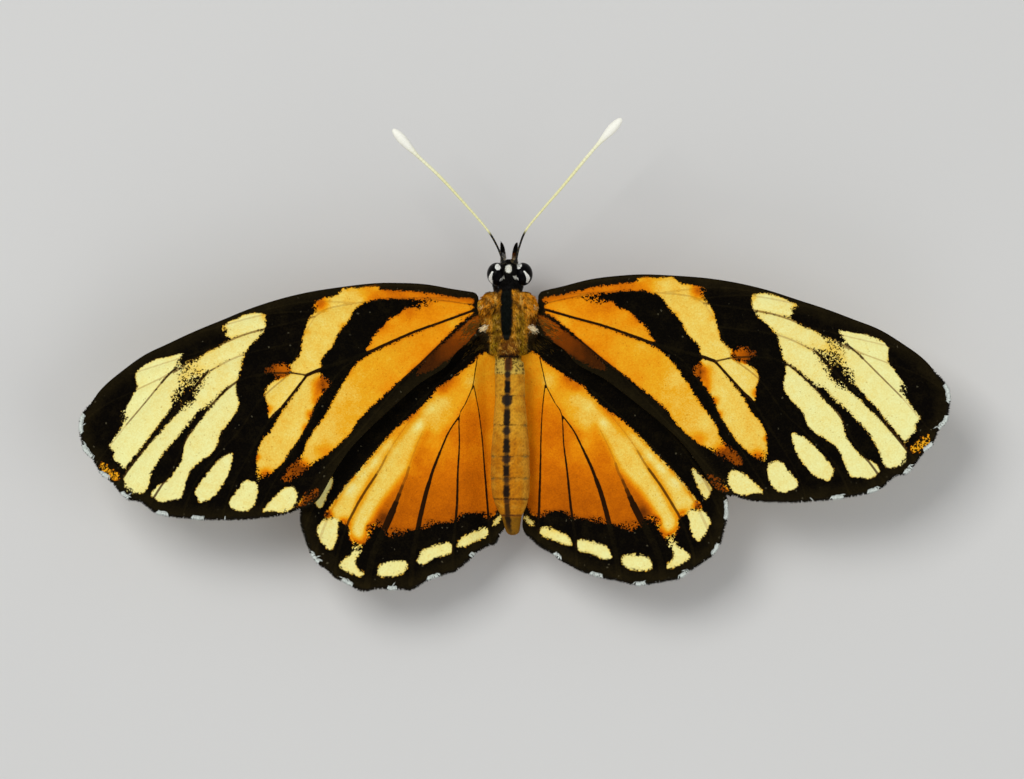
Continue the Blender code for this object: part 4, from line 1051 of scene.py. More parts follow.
def ball(bm, centre, half, sides=40, rings=24):
    made = bmesh.ops.create_uvsphere(bm, u_segments=sides, v_segments=rings, radius=1.0)
    for vert in made["verts"]:
        vert.co = Vector([c + h * x for c, h, x in zip(centre, half, vert.co)])


def abdomen_middle(v):
    """Height of the abdomen's middle line."""
    share = clamp01((-4.0 - v) / 12.62)
    return ABDOMEN_FRONT_Z + (ABDOMEN_TIP_Z - ABDOMEN_FRONT_Z) * share ** 1.6


def abdomen_axis(v):
    """How far outward the abdomen's middle line lies."""
    return np.interp(-v, *np.array(ABDOMEN_AXIS).T)


def remeshed(bm):
    """Points and four-sided faces of one even skin round the overlapping masses, in mm."""
    mesh = bpy.data.meshes.new("work")
    bm.to_mesh(mesh)
    bm.free()
    work = bpy.data.objects.new("work", mesh)
    bpy.context.scene.collection.objects.link(work)
    modifier = work.modifiers.new("skin", "REMESH")
    modifier.mode = "VOXEL"
    modifier.voxel_size = SKIN_VOXEL
    graph = bpy.context.evaluated_depsgraph_get()
    even = work.evaluated_get(graph).to_mesh()
    places = np.empty(len(even.vertices) * 3)
    even.vertices.foreach_get("co", places)
    corners = np.empty(len(even.loops), int)
    even.loops.foreach_get("vertex_index", corners)
    bpy.data.objects.remove(work)
    bpy.data.meshes.remove(mesh)
    return places.reshape(-1, 3), corners.reshape(-1, 4)


def relaxed(places, faces, rounds):
    edges = np.vstack([faces[:, [i, (i + 1) % 4]] for i in range(4)])
    count = np.bincount(edges[:, 0], minlength=len(places)).astype(float)[:, None]
    for _ in range(rounds):
        mean = np.zeros_like(places)
        np.add.at(mean, edges[:, 0], places[edges[:, 1]])
        places = 0.5 * places + 0.5 * mean / np.maximum(count, 1)
    return places


def corner_normals(places, faces):
    across = places[faces[:, 2]] - places[faces[:, 0]]
    down = places[faces[:, 3]] - places[faces[:, 1]]
    flat = np.cross(across, down)
    normals = np.zeros_like(places)
    for i in range(4):
        np.add.at(normals, faces[:, i], flat)
    return unit(normals)


def abdomen_tube(bm):
    """The abdomen as a closed tube, added to the masses."""
    turn = np.arange(ABDOMEN_SIDES) * 2 * math.pi / ABDOMEN_SIDES
    rings = []
    for v, radius in spline(ABDOMEN_PROFILE, 0.2):
        axis, middle = abdomen_axis(v), abdomen_middle(v)
        wide = radius - COAT_DEPTH
        deep = ABDOMEN_DEPTH * wide
        ring = [(axis + wide * math.cos(a), v, middle + deep * math.sin(a)) for a in turn]
        rings.append([bm.verts.new(place) for place in ring])
    for one, two in zip(rings, rings[1:]):
        for i in range(ABDOMEN_SIDES):
            n = (i + 1) % ABDOMEN_SIDES
            bm.faces.new((one[i], one[n], two[n], two[i]))
    bm.faces.new(rings[0][::-1])
    bm.faces.new(rings[-1])


def segmented(places):
    """Places of the skin with the abdomen's segments, each swelling towards a step at its rear end."""
    u, v, z = places.T
    rear = smooth(-v, 4.0, 4.6)
    step = np.zeros(len(places))
    for front, back in zip((-3.9,) + ABDOMEN_JOINTS, ABDOMEN_JOINTS + (-17.0,)):
        share = (front - v) / (front - back)
        inside = (share >= 0) & (share < 1)
        swell = SEGMENT_SWELL * share ** 0.7 - SEGMENT_STEP * smooth(share, 0.93, 1.0)
        step = np.where(inside, swell, step)
    grow, axis = 1 + rear * step, abdomen_axis(v) * rear
    height = abdomen_middle(v) * rear * (1 - grow) + z * (rear * grow + 1 - rear)
    return np.column_stack([axis + (u - axis) * grow, v, height])


def trunk_skin():
    """Head, thorax and abdomen as one skin with its segment steps."""
    bm = bmesh.new()
    for centre, half in TRUNK_MASSES:
        ball(bm, centre, half)
    for (x, y, z), half in PAIRED_MASSES:
        for way, _ in SIDES:
            ball(bm, (way * x, y, z), half, 28, 16)
    abdomen_tube(bm)
    bmesh.ops.recalc_face_normals(bm, faces=bm.faces)
    places, faces = remeshed(bm)
    places = segmented(relaxed(places, faces, 6))
    return places, faces, corner_normals(places, faces)


def mottle(p, size):
    """Soft blotches about size mm across, from -1 to 1."""
    a, b, c = (p * (2.2 / size)).T
    return np.sin(a + 1.7 * np.sin(0.8 * b + 0.6 * c)) * np.sin(b + 1.9 * np.sin(0.7 * a - 0.5 * c) + 1.3)


def in_mark(u, v, mark):
    """How far inside a turned oval mark, which is 1 at its rim."""
    x, y, wide, long, turn = mark[:5]
    cos, sin = math.cos(math.radians(turn)), math.sin(math.radians(turn))
    return np.hypot(((u - x) * cos + (v - y) * sin) / wide, ((v - y) * cos - (u - x) * sin) / long)


def thorax_tint(p):
    """Tawny and orange fur with paler and darker tufts and a dark stripe down the middle, with a painted
    highlight on each shoulder, painted shade at the joint with the abdomen and painted shadow under and
    behind the eyes.
    """
    u, v, z = p.T
    out = np.abs(u - BODY_AXIS * 0.5)
    blotch, fine = mottle(p, 0.5), mottle(p[:, ::-1], 0.17)
    tint = painted(
        coloured((196, 128, 18), len(p)),
        ((228, 142, 16), near(out, 1.55, 0.35, 0.6) * smooth(v, -1.1, -0.6)),
        ((232, 150, 26), smooth(v, 0.2, 0.8) * near(out, 0.85, 0.5, 0.75)),
        ((172, 128, 20), near(out, 0.85, 0.2, 0.45) * smooth(-v, 0.0, 0.7)),
        # A narrow pale streak on each shoulder, a painted highlight
        ((250, 192, 92), near(out, 0.92, 0.05, 0.16) * near(v, 0.5, 0.2, 0.55) * 0.9),
        ((150, 86, 12), smooth(out, 1.3, 1.7) * smooth(-v, 0.3, 0.9)),
        ((120, 68, 12), near(out, 0.2, 0.3, 0.75) * smooth(-v, 2.3, 2.8)),
        ((172, 130, 12), smooth(out, 0.7, 1.0) * smooth(-v, 2.3, 2.8)),
        ((84, 42, 6), smooth(blotch, 0.1, 0.7) * 0.7),
        ((252, 182, 62), smooth(-blotch, 0.3, 0.9) * 0.5),
        ((44, 22, 4), smooth(fine, 0.35, 0.8) * 0.7),
        ((255, 206, 104), smooth(-fine, 0.6, 0.95) * 0.4),
        ((40, 20, 5), near(np.hypot((out - 1.2) / 0.8, (v + 0.05)), 0.0, 0.08, 0.22) * 0.9),
        ((236, 196, 130), near(np.hypot((out - 1.9) / 1.6, v - 0.02), 0.0, 0.05, 0.12) * 0.8),
        ((44, 32, 10), smooth(out, 1.25, 1.42) * smooth(-v, 1.75, 2.0) * smooth(z, 3.9, 4.3)))
    places, halves = np.array(STRIPE).T
    half = np.interp(v, places, halves, left=-0.2, right=halves[-1])
    stripe = 1 - smooth(np.abs(u - STRIPE_AXIS) - half + 0.03 * fine, -0.05, 0.05)
    tint = painted(
        tint,
        ((8, 13, 8), stripe * smooth(z, 5.9, 6.3)),
        ((240, 224, 176), near(np.hypot((out - 1.8) / 1.25, v + 1.64), 0.0, 0.1, 0.26)),
        # A black band across the joint with the abdomen, painted shade in the gap between them
        ((12, 7, 3), near(u, 0.09, 0.62, 0.85) * near(v, -3.6, 0.07, 0.2)),
        # Painted shadow under and behind the eyes, on the front of the thorax below its top
        ((16, 12, 8), smooth(v, 0.85, 1.05) * (1 - smooth(z, 5.9, 6.3))))
    return painted(tint, ((198, 158, 96), (1 - smooth(z, 3.9, 4.6)) * (1 - smooth(v, 0.7, 1.0))))


def abdomen_tint(p):
    """Orange brown rings with grey creases, paler below, and dark dashes and ovals down the middle."""
    u, v, z = p.T
    out = np.abs(u - BODY_AXIS)
    blotch, fine = mottle(p, 0.7), mottle(p[:, ::-1], 0.22)
    tint = painted(
        coloured((216, 152, 34), len(p)),
        ((196, 118, 4), smooth(-v, 8.5, 10.5) * 0.85),
        ((212, 156, 48), smooth(out, 0.8, 1.2) * 0.55),
        ((176, 100, 4), smooth(blotch, 0.0, 0.8) * 0.45),
        ((226, 162, 48), smooth(-blotch, 0.2, 0.9) * 0.35),
        ((140, 78, 6), smooth(fine, 0.4, 0.85) * 0.4))
    first = 1 - smooth(-v, 4.85, 4.98)
    tint = painted(
        tint,
        ((208, 170, 70), first),
        ((70, 54, 16), first * smooth(mottle(p[:, [1, 0, 2]], 0.17), 0.05, 0.5) * 0.85),
        ((112, 56, 14), (1 - smooth(-v, 4.6, 4.8)) * near(u, 0.03, 0.22, 0.34)),
        ((216, 178, 108), 1 - smooth(z, 4.4, 5.1)))
    line = np.interp(-v, *(np.array(BACK_LINE) * (-1, 1)).T)
    across = np.abs(u - line)
    for joint in ABDOMEN_JOINTS[1:]:
        crease = near(v, joint, 0.02, 0.09)
        tint = painted(
            tint,
            ((112, 92, 44), crease * (0.15 + 0.35 * smooth(out, 0.8, 1.15))),
            ((108, 116, 66), near(v, joint, 0.06, 0.16) * near(out, 1.2, 0.08, 0.2) * 0.4),
            ((24, 18, 10), near(v, joint, 0.02, 0.06) * (1 - smooth(across, 0.4, 0.62)) * 0.8))
    tint = painted(
        tint,
        ((98, 52, 12), near(v, -14.0, 0.03, 0.1) * 0.8),
        ((84, 40, 12), near(v, -15.2, 0.04, 0.12) * smooth(z, 5.2, 5.6) * 0.8),
        ((112, 78, 8), smooth(-v, 15.2, 15.4) * 0.8),
        ((40, 28, 12), (1 - smooth(across, 0.12, 0.24)) * smooth(z, 5.3, 5.9) * 0.8))
    for start, end, half, strength, rounded in BACK_DASHES:
        along = np.abs(v - (start + end) / 2) / ((start - end) / 2)
        if rounded:
            shape = (np.hypot(across / half, along) - 1) * half
        else:
            shape = np.maximum(across - half, (along - 1) * (start - end) / 2)
        shape = shape + 0.05 * fine
        dash = (17, 18, 19) if rounded else (12, 8, 4)
        tint = painted(tint, (dash, strength * (1 - smooth(shape, -0.06, 0.06)) * smooth(z, 5.3, 5.7)))
    return tint


def head_tint(p):
    """Black with white marks above, buff below."""
    u, v, z = p.T
    tint = coloured((9, 8, 7), len(p))
    for mark in HEAD_MARKS:
        inside = 1 - smooth(in_mark(u, v, mark), 0.85, 1.1)
        tint = painted(tint, ((242, 238, 212), mark[5] * inside * smooth(z, 5.6, 6.0)))
    tint = painted(tint, ((150, 130, 88), near(u, 0.32, 0.03, 0.08) * near(v, 3.25, 0.05, 0.15) * 0.7))
    return painted(tint, ((206, 186, 140), (1 - smooth(z, 4.55, 4.8)) * 0.9))


def body_tint(p):
    """The body's markings: linear colour at plan places and heights in mm."""
    v = p[:, 1]
    tint = thorax_tint(p)
    tint = tint + smooth(-v, 3.72, 3.85)[:, None] * (abdomen_tint(p) - tint)
    return tint + smooth(v, 1.14, 1.26)[:, None] * (head_tint(p) - tint)


def scattered(places, faces, normals, density, seed):
    """Roots and normals spread over a skin of four-sided faces, density per mm2 given at each face."""
    rng = np.random.default_rng(seed)
    corners = places[faces]
    across, down = corners[:, 2] - corners[:, 0], corners[:, 3] - corners[:, 1]
    wanted = 0.5 * np.linalg.norm(np.cross(across, down), axis=1) * density(corners.mean(1))
    count = np.floor(wanted + rng.uniform(0, 1, len(faces))).astype(int)
    picked = np.repeat(np.arange(len(faces)), count)
    a, b = rng.uniform(0, 1, (2, len(picked), 1))
    weights = ((1 - a) * (1 - b), a * (1 - b), a * b, (1 - a) * b)
    roots = sum(w * corners[picked][:, i] for i, w in enumerate(weights))
    ups = sum(w * normals[faces[picked]][:, i] for i, w in enumerate(weights))
    return roots, unit(ups)


def scattered_on_tube(places, faces, density, seed):
    """Roots and normals spread over the side of a tube, whose last two faces are its ends."""
    quads = np.array(faces[:-2])
    return scattered(places, quads, corner_normals(places, quads), density, seed)


def trunk_unwrap(p):
    turn = np.arctan2(p[:, 0] - BODY_AXIS, p[:, 2] - 5.4) / (2 * math.pi) + 0.5
    return np.column_stack([turn, (p[:, 1] + 17.2) / 21.4])


def tube(path, radii, sides, squash=1.0):
    """Points, faces, and distance along for a closed round tube through the path."""
    path = np.asarray(path, float)
    run = unit(np.gradient(path, axis=0))
    side = np.cross(run[0], (0.0, 0.0, 1.0))
    side = side / np.linalg.norm(side)
    places = []
    for centre, ahead, radius in zip(path, run, radii):
        side = side - (side @ ahead) * ahead
        side = side / np.linalg.norm(side)
        up = np.cross(side, ahead)
        turn = np.arange(sides) * 2 * math.pi / sides
        places.append(centre + radius * (np.cos(turn)[:, None] * side + squash * np.sin(turn)[:, None] * up))
    faces = []
    for ring in range(len(path) - 1):
        for i in range(sides):
            n = (i + 1) % sides
            faces.append((ring * sides + i, ring * sides + n, (ring + 1) * sides + n, (ring + 1) * sides + i))
    faces.append(tuple(range(sides))[::-1])
    faces.append(tuple((len(path) - 1) * sides + i for i in range(sides)))
    return np.vstack(places), faces, np.repeat(length_along(path), sides)


def head_and_body(materials):
    """The trunk's skin and its coat, from one set of markings."""
    places, faces, normals = trunk_skin()
    make_piece("trunk_skin", places, faces.tolist(), [materials["skin"]],
               values={"tint": body_tint(places)}, replaces=["head", "thorax", "abdomen"])

    def hairs(name, density, length, width, lift, lie, seed, flatness=0.5, tone=None, spread=0.25):
        roots, up = scattered(places, faces, normals, density, seed)
        tint = body_tint(roots)
        if tone is not None:
            tint = tone(tint, np.random.default_rng(seed + 1))
        size = length(roots) if callable(length) else length
        tufts(name, materials["coat"], roots, up, lie(roots), size, width, lift, tint, trunk_unwrap,
              seed, flatness=flatness, spread=spread)

    def back_lie(p):
        out = 0.32 * np.clip(p[:, 0] - BODY_AXIS, -1.5, 1.5)
        return np.column_stack([out, np.full(len(p), -1.0), np.full(len(p), -0.15)])

    def thorax_density(p):
        upper = 0.4 + 0.6 * smooth(p[:, 2], 4.0, 5.6)
        return THORAX_HAIRS * smooth(p[:, 1], -3.8, -3.7) * (p[:, 1] < 1.24) * upper

    def abdomen_density(p):
        return ABDOMEN_SCALES * smooth(-p[:, 1], 3.75, 3.85)

    def thorax_length(p):
        return 0.2 + 0.1 * smooth(np.abs(p[:, 0]), 0.9, 1.7)

    def mixed(tint, rng):
        """Single hairs darker or lighter than their neighbours, as the real coat has."""
        pick = rng.uniform(0, 1, (len(tint), 1))
        return tint * np.where(pick < 0.16, 0.35, np.where(pick > 0.88, 1.6, 1.0))

    hairs("coat_thorax", thorax_density, thorax_length, 0.045, 0.32, back_lie, 11, tone=mixed, spread=0.32)
    hairs("coat_abdomen", abdomen_density, 0.17, 0.065, 0.1, back_lie, 21, flatness=0.3, tone=mixed,
          spread=0.15)

    def head_density(p):
        eye = np.ones(len(p))
        for way, _ in SIDES:
            offset = (p - (HEAD_AXIS + way * EYE_OUT, *EYE_PLACE)) / (np.array(EYE_HALF) + 0.03)
            eye *= (offset ** 2).sum(1) > 1
        return HEAD_HAIRS * eye * (p[:, 1] > 1.2)

    def head_lie(p):
        ahead = smooth(p[:, 1], 2.6, 3.2)
        return np.column_stack([0.5 * (p[:, 0] - HEAD_AXIS), -0.5 + 1.3 * ahead, 0.4 + 0.2 * ahead])

    hairs("coat_head", head_density, 0.16, 0.04, 0.4, head_lie, 31)
    return BVHTree.FromPolygons(places.tolist(), faces.tolist())


def eyes(materials):
    """The two eyes; their surfaces are handed back for the white scales."""
    trees = []
    for way, side in SIDES:
        bm = bmesh.new()
        ball(bm, (HEAD_AXIS + way * EYE_OUT, *EYE_PLACE), EYE_HALF, 56, 36)
        trees.append(BVHTree.FromBMesh(bm))
        places = np.array([v.co[:] for v in bm.verts])
        faces = [[v.index for v in f.verts] for f in bm.faces]
        bm.free()
        make_piece("eye_" + side, places, faces, [materials["eye"]], replaces=["eye_" + side])
    return trees


def white_scale_places():
    """Plan places of the head's white scales, and how light each is."""
    rng = np.random.default_rng(41)
    spots, lights = [], []
    for x, y, wide, long, turn, lightness in HEAD_MARKS:
        count = int(WHITE_SCALES * wide * long * math.pi)
        angle, reach = rng.uniform(0, 2 * math.pi, count), np.sqrt(rng.uniform(0, 1, count))
        a, b = wide * reach * np.cos(angle), long * reach * np.sin(angle)
        cos, sin = math.cos(math.radians(turn)), math.sin(math.radians(turn))
        spots.append(np.column_stack([x + a * cos - b * sin, y + a * sin + b * cos]))
        lights.append(np.full(count, lightness))
    count = int(WHITE_SCALES * EYE_BOW_AREA)
    for points in EYE_BOWS:
        bow = spline(points, 0.02)
        share = rng.uniform(0, 1, count)
        half = EYE_BOW_HALF * rng.uniform(-1, 1, count)
        side_on = half * np.sin(math.pi * np.clip(share ** 1.5, 0.05, 0.9)) ** 0.6
        spots.append(bow[(share * (len(bow) - 1)).astype(int)] + np.column_stack([side_on, np.zeros(count)]))
        lights.append(np.full(count, 1.0))
    return np.vstack(spots), np.concatenate(lights)


def white_scales(materials, trees):
    """White scales dropped from above onto the eyes, the head between them and a palp."""
    found = []
    for (x, y), light in zip(*white_scale_places()):
        hits = [tree.ray_cast((x, y, 9.0), (0.0, 0.0, -1.0)) for tree in trees]
        hits = [(place.z, *place, *up, light) for place, up, _, _ in hits if place and up.z > 0.25]
        if hits:
            found.append(max(hits)[1:])
    found = np.array(found)
    roots, ups = found[:, :3], found[:, 3:6]
    tint = linear(SCALE_WHITE) * found[:, 6:] ** 2
    inward, none = 0.2 * np.sign(HEAD_AXIS - roots[:, 0]), np.zeros(len(roots))
    lie = np.column_stack([inward, none - 1.0, none])
    tufts("head_white_scales", materials["coat"], roots, ups, lie, 0.11, 0.05, 0.12, tint,
          lambda p: (p[:, :2] - (-1.6, 1.4)) / 3.4, 43, flatness=0.3, sink=0.0)


def antennae(materials):
    """The two antennae: ringed and black at the base, pale further out, each ending in a flat club."""
    for side, points in ANTENNAE.items():
        path = spline(points, 0.06)
        along = length_along(path)
        left = along[-1] - along
        radii = BASE_RADIUS + (SHAFT_RADIUS - BASE_RADIUS) * smooth(along, 1.5, 10.5)
        radii = radii + 0.06 * (1 - smooth(along, 0.12, 0.36))
        radii = radii + (CLUB_WIDEST - radii) * smooth(left, CLUB_LENGTH, 0.9)
        radii = radii * np.sqrt(1 - (1 - clamp01(left / CLUB_TIP + 0.02)) ** 2)
        radii = radii * (1 + 0.04 * (np.abs(np.sin(math.pi * along / ANTENNA_RING)) - 0.6))
        places, faces, reach = tube(path, radii, 20, squash=0.88)
        tip = along[-1] - reach
        wave = np.sin(math.pi * reach / ANTENNA_RING)
        ring = 1 - smooth(np.abs(wave), 0.1, 0.35)
        speck = near(np.sin(5.3 * reach), 1.0, 0.02, 0.08) * (wave ** 2 > 0.6)
        tint = painted(
            coloured((13, 11, 8), len(places)),
            ((238, 234, 176), smooth(reach, ANTENNA_BLACK - 0.15, ANTENNA_BLACK + 0.25)),
            ((246, 244, 206), smooth(tip, CLUB_LENGTH + 3.0, CLUB_LENGTH)),
            ((252, 250, 236), smooth(tip, CLUB_LENGTH, CLUB_LENGTH - 1.4)),
            ((160, 142, 84), ring * 0.25 * smooth(tip, 1.4, 3.0)),
            ((150, 150, 120), speck * (reach < ANTENNA_BLACK) * (reach > 0.6) * 0.6))
        make_piece("antenna_" + side + "_ringed", places, faces, [materials["antenna"]],
                   values={"tint": tint}, replaces=["antenna_" + side])


def palps(materials):
    """The two palps with their hair; their surfaces are handed back for the white scales."""
    trees = []
    for way, side in SIDES:
        joined = spline(np.column_stack([PALP, PALP_RADII]), 0.06)
        path, radii = joined[:, :3].copy(), np.maximum(joined[:, 3], 0.03)
        path[:, 0] = BODY_AXIS + way * (path[:, 0] - BODY_AXIS)
        places, faces, _ = tube(path, radii, 16)
        pale_below = 1 - smooth(places[:, 2], 4.3, 4.7)
        tint = painted(coloured((15, 12, 9), len(places)), ((206, 188, 146), pale_below))
        make_piece("palp_" + side + "_core", places, faces, [materials["skin"]],
                   values={"tint": tint}, replaces=["palp_" + side])
        trees.append(BVHTree.FromPolygons(places.tolist(), faces))
        roots, up = scattered_on_tube(places, faces, lambda p: np.full(len(p), PALP_HAIRS), 51 + way)
        inner = -way * (roots[:, 0] - (BODY_AXIS + way * 0.46))
        on_mark = 1 - smooth(in_mark(*roots[:, :2].T, HEAD_MARKS[-1]), 0.9, 1.3)
        tone = painted(
            coloured((11, 10, 8), len(roots)),
            (PALP_WHITE if way < 0 else (176, 96, 24),
             smooth(inner, -0.06, 0.02) * (1 - smooth(roots[:, 1], 3.75, 3.95))),
            ((222, 206, 164), 1 - smooth(roots[:, 2], 4.1, 4.3)),
            (PALP_WHITE, on_mark * (way < 0)))
        lie = np.tile((0.12 * way, 0.9, 0.75), (len(roots), 1))
        tufts("palp_" + side + "_hair", materials["coat"], roots, up, lie, 0.24, 0.035, 0.35, tone,
              lambda p: np.column_stack([(p[:, 1] - 2.6) / 2.6, (p[:, 2] - 3.8) / 2.6]), 53, spread=0.15)
    return trees


def proboscis(materials):
    """The coiled tongue under the head."""
    turn = np.linspace(0, 1, PROBOSCIS_STEPS)
    angle = math.radians(75) - turn * PROBOSCIS_TURNS * 2 * math.pi
    radius = PROBOSCIS_OUTER * (1 - 0.75 * turn)
    path = np.column_stack([np.full(PROBOSCIS_STEPS, BODY_AXIS), PROBOSCIS_CENTRE[0] + radius * np.cos(angle),
                            PROBOSCIS_CENTRE[1] + radius * np.sin(angle)])
    path[0] += (0.0, 0.0, 0.3)
    radii = (0.13 - 0.06 * turn) * (1 + 0.05 * np.sin(turn * 400))
    places, faces, reach = tube(path, radii, 14)
    tint = painted(coloured((70, 38, 12), len(places)), ((34, 18, 8), 0.5 + 0.5 * np.sin(reach * 22)))
    make_piece("proboscis_coil", places, faces, [materials["leg"]], values={"tint": tint},
               replaces=["proboscis"])


def leg_shape(name, points):
    """Middle line, radii and length along a leg."""
    joined = spline(points, 0.07)
    path, radii = joined[:, :3], joined[:, 3] * LEG_SLIM
    along = length_along(path)
    tarsus = (path[:, 2] < TARSUS_BELOW) & (name != "fore")
    radii = radii * np.where(tarsus, 0.8 + 0.18 * np.abs(np.sin(math.pi * along / TARSUS_RING)), 1.0)
    return path, radii * np.sqrt(clamp01((along[-1] - along) / 0.25 + 0.06)), along


def leg_tint(name, places, base, *coats):
    """A base colour and its coats, with the fore legs black in front."""
    tint = painted(coloured(base, len(places)), *coats)
    if name == "fore":
        tint = painted(tint, ((24, 18, 12), smooth(places[:, 1], 0.95, 1.15)))
    return tint


def leg_hair(name, number, turned, path, share, places, faces):
    """A leg's hair and spines: roots, normals, directions, lengths, tints and unwrapped places."""
    dense = FORE_LEG_HAIRS if name == "fore" else LEG_HAIRS
    roots, ups = scattered_on_tube(places, faces, lambda p: np.where(p[:, 2] > 0.1, dense, FOOT_HAIRS),
                                   60 + number)
    nearest = np.array([np.argmin(((path - root) ** 2).sum(1)) for root in roots])
    part = share[nearest]
    sizes = np.where(part > 0.5, 0.2, 0.26) * (1.3 if name == "fore" else 1.0)
    tones = leg_tint(name, roots, (150, 86, 30), ((226, 196, 136), smooth(part, 0.5, 0.2) * 0.8),
                     ((36, 22, 12), smooth(part, 0.5, 0.75) * 0.8))
    flats = np.column_stack([(turned + 0.9 * part) / 6, np.arctan2(ups[:, 0], ups[:, 2]) / 7 + 0.5])
    return roots, ups, unit(np.gradient(path, axis=0))[nearest], sizes, tones, flats


def claw(name, way, hook, turned, end):
    """One claw of a foot, in the same order as the hair."""
    aim = unit(np.array([[way * 0.25 + 0.35 * hook, 0.9 if name == "mid" else -0.9, -0.25]]))
    return (end[None] - 0.1 * aim + (0, 0, 0.06), np.array([[0.0, 0.0, 1.0]]), aim, np.array([CLAW]),
            linear((26, 14, 8))[None], np.array([[(turned + 0.95) / 6, 0.1 + 0.1 * hook]]))


def legs(materials):
    """Six slender scaled legs, the front pair small and hairy, with spines and claws."""
    grown = []
    for number, (name, points) in enumerate(LEGS.items()):
        path, radii, along = leg_shape(name, points)
        for way, side in SIDES:
            placed = path * (way, 1, 1)
            placed[:, 2] = np.maximum(placed[:, 2], radii)
            places, faces, reach = tube(placed, radii, LEG_SIDES)
            places[:, 2] = np.maximum(places[:, 2], 0.0)
            part = reach / along[-1]
            ring = 1 - smooth(np.abs(np.sin(math.pi * reach / TARSUS_RING)), 0.1, 0.35)
            tint = leg_tint(
                name, places, (178, 104, 36),
                ((226, 190, 122), smooth(part, 0.45, 0.1) * 0.8),
                ((84, 46, 18), smooth(part, 0.62, 0.9)),
                ((40, 22, 10), ring * (part > 0.66) * 0.7))
            label = "leg_" + name + "_" + side
            make_piece(label + "_scaled", places, faces, [materials["leg"]], values={"tint": tint},
                       replaces=[label])
            turned = 2 * number + (way > 0)
            grown.append(leg_hair(name, number, turned, placed, along / along[-1], places, faces))
            if name != "fore":
                grown += [claw(name, way, hook, turned, placed[-1]) for hook in (-1, 1)]
    roots, ups, lies, sizes, tones, flats = (np.concatenate(part) for part in zip(*grown))
    tufts("leg_scales_and_spines", materials["coat"], roots, ups, lies, sizes, 0.045, 0.3, tones,
          lambda p: flats, 71, spread=0.15)


def root_hair(kind, way, place, rng):
    """Hair over one wing's root: roots, directions, tints and lengths."""
    placed = swept_left(place, kind) if way < 0 else place
    count = len(place)
    if kind["below"]:
        back, length = -1.1, 0.42
        tones = painted(coloured((34, 24, 8), count), ((110, 84, 24), rng.uniform(0, 1, count) ** 2 * 0.6))
    else:
        back, length = -0.45, 0.3
        tones = painted(coloured((196, 118, 28), count),
                        ((120, 82, 24), smooth(-place[:, 1], 0.6, 1.4)),
                        ((60, 36, 12), rng.uniform(0, 0.6, count)))
    roots = np.column_stack([placed, wing_height(placed, kind["below"]) + 0.03])
    return roots, np.tile((way * 1.0, back, 0.0), (count, 1)), tones, np.full(count, length)


def white_tuft(way, rng):
    """The pale tuft behind the forewing's root, in the same order as the root's hair."""
    white = rng.normal(0, 1, (WHITE_TUFT, 2)) * (0.14, 0.08)
    white = white + WHITE_TUFT_AT - white[:, :1] * (0.0, 0.35)
    roots = np.column_stack([way * white[:, 0], white[:, 1], np.full(WHITE_TUFT, WHITE_TUFT_Z)])
    tones = painted(coloured((246, 232, 190), WHITE_TUFT),
                    ((196, 140, 62), rng.uniform(0, 1, WHITE_TUFT) ** 2))
    return roots, np.tile((way * 0.9, -0.6, 0.0), (WHITE_TUFT, 1)), tones, np.full(WHITE_TUFT, 0.2)


def wing_base_hair(materials):
    """Long scales that hide where the wings leave the body, on both wings of each side."""
    rng = np.random.default_rng(81)
    for way, side in SIDES:
        grown = []
        for kind, tries, low, high in ROOT_HAIRS:
            u = rng.uniform(low[0], high[0], tries)
            v = rng.uniform(low[1], high[1], tries)
            place = np.column_stack([u, v])
            keep = rng.uniform(0, 1, tries) < smooth(high[0] - u, 0.0, 1.9)
            if kind["below"]:
                keep &= ring_distance(place, spline(kind["outline"], 0.3, closed=True)) > 0.05
                keep &= v > -2.95 - 0.6 * np.maximum(u - 1.9, 0.0)
            else:
                keep &= (v < 0.75 - 1.3 * smooth(u, 1.8, 2.1)) & (v > -0.35 - 1.05 * (u - 1.2))
            grown.append(root_hair(kind, way, place[keep], rng))
        grown.append(white_tuft(way, rng))
        roots, lies, tones, sizes = (np.concatenate(part) for part in zip(*grown))
        up = np.tile((0.0, 0.0, 1.0), (len(roots), 1))
        tufts("wing_base_hair_" + side, materials["coat"], roots, up, lies, sizes, 0.045, 0.22,
              tones, lambda p: np.column_stack([(np.abs(p[:, 0]) - 1.0) / 6.5, (p[:, 1] + 5.6) / 7.0]),
              83, spread=0.22)


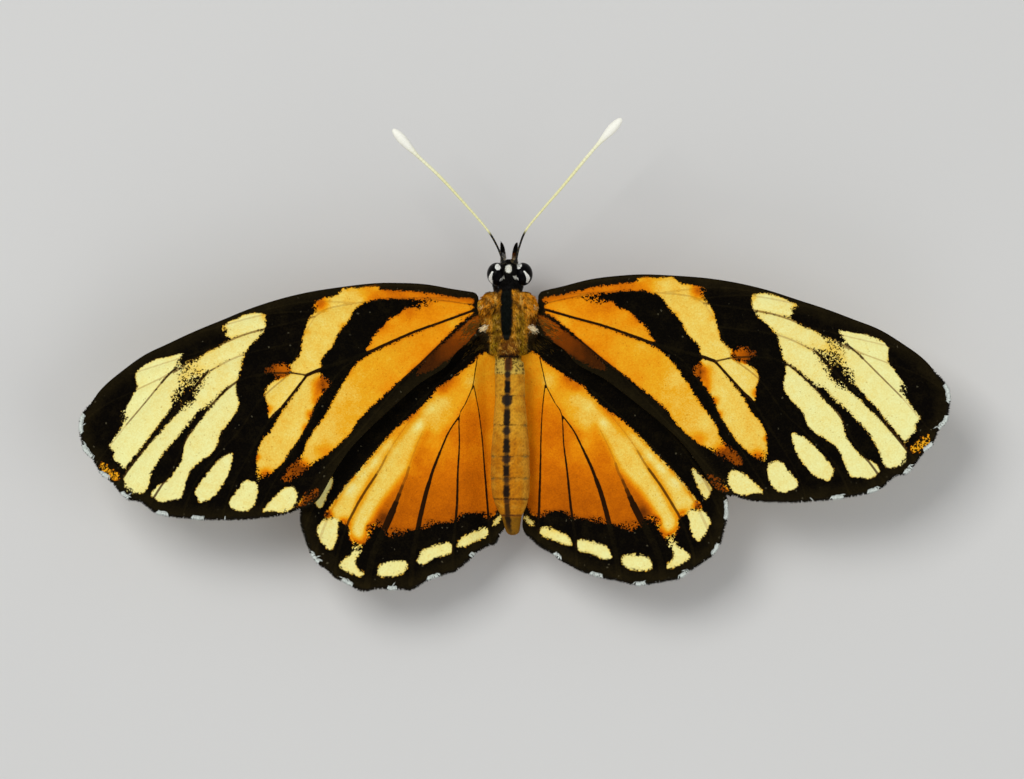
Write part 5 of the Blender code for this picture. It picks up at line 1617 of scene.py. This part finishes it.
def room():
    """Pale floor, soft studio light and the camera of the photo's view."""
    bm = bmesh.new()
    bmesh.ops.create_grid(bm, x_segments=8, y_segments=8, size=FLOOR_HALF)
    mesh = bpy.data.meshes.new("floor")
    bm.to_mesh(mesh)
    bm.free()
    floor = bpy.data.objects.new("floor", mesh)
    floor.location.z = -FLOOR_BELOW
    bpy.context.scene.collection.objects.link(floor)
    s = Shader("pale_floor", roughness=0.85, specular=0.1)
    s.set("Base Color", s.mix(s.noise(0.01, 3.0), (206, 205, 202), (212, 211, 208)))
    mesh.materials.append(s.material)

    world = bpy.data.worlds.new("studio")
    world.use_nodes = True
    sky = world.node_tree.nodes["Background"].inputs
    sky["Color"].default_value = SKY
    sky["Strength"].default_value = SKY_STRENGTH
    bpy.context.scene.world = world
    for name, place, size, power in LAMPS:
        light = bpy.data.lights.new(name, "AREA")
        light.size = size
        light.energy = power
        holder = bpy.data.objects.new(name, light)
        holder.location = place
        holder.rotation_euler = (-Vector(place)).to_track_quat("-Z", "Y").to_euler()
        bpy.context.scene.collection.objects.link(holder)

    camera = bpy.data.cameras.new("camera")
    camera.sensor_width = SENSOR_WIDTH
    camera.lens = SENSOR_WIDTH * CAMERA_HEIGHT / FRAME_WIDTH
    camera.clip_start = 0.02
    camera.clip_end = 10.0
    eye = bpy.data.objects.new("camera", camera)
    eye.location = (CAMERA_MIDDLE[0] * MM, CAMERA_MIDDLE[1] * MM, (CAMERA_HEIGHT + WING_LEVEL) * MM)
    bpy.context.scene.collection.objects.link(eye)
    bpy.context.scene.camera = eye
    bpy.context.scene.view_settings.view_transform = "Standard"


def main():
    materials = dict(
        wing_upper=wing_material("wing_scales_upper"),
        wing_under=wing_material("wing_scales_under", under=True),
        skin=tinted_material("body_skin", 0.7, 0.08, variation=0.25),
        coat=tinted_material("hair_and_scales", 0.7, 0.05, variation=0.12, per_mm=9.0, depth_mm=0.008),
        antenna=tinted_material("antenna_rings", 0.55, 0.2, variation=0.08, per_mm=12.0, depth_mm=0.01),
        leg=tinted_material("leg_chitin", 0.42, 0.4, variation=0.25, per_mm=10.0, depth_mm=0.012, coat=0.1),
        eye=eye_material())
    seed = 100
    for label, kind in (("fore", FORE), ("hind", HIND)):
        for side in ("right", "left"):
            left = side == "left"
            rim = wing("wing_" + label + "_" + side, kind, left, materials["wing_upper"],
                       materials["wing_under"], label + "wing_" + side)
            fringe("fringe_" + label + "_" + side, kind, left, *rim, materials["coat"], seed)
            seed += 1
    trees = [head_and_body(materials)]
    antennae(materials)
    trees += palps(materials)
    trees += eyes(materials)
    white_scales(materials, trees)
    proboscis(materials)
    legs(materials)
    wing_base_hair(materials)
    room()


main()
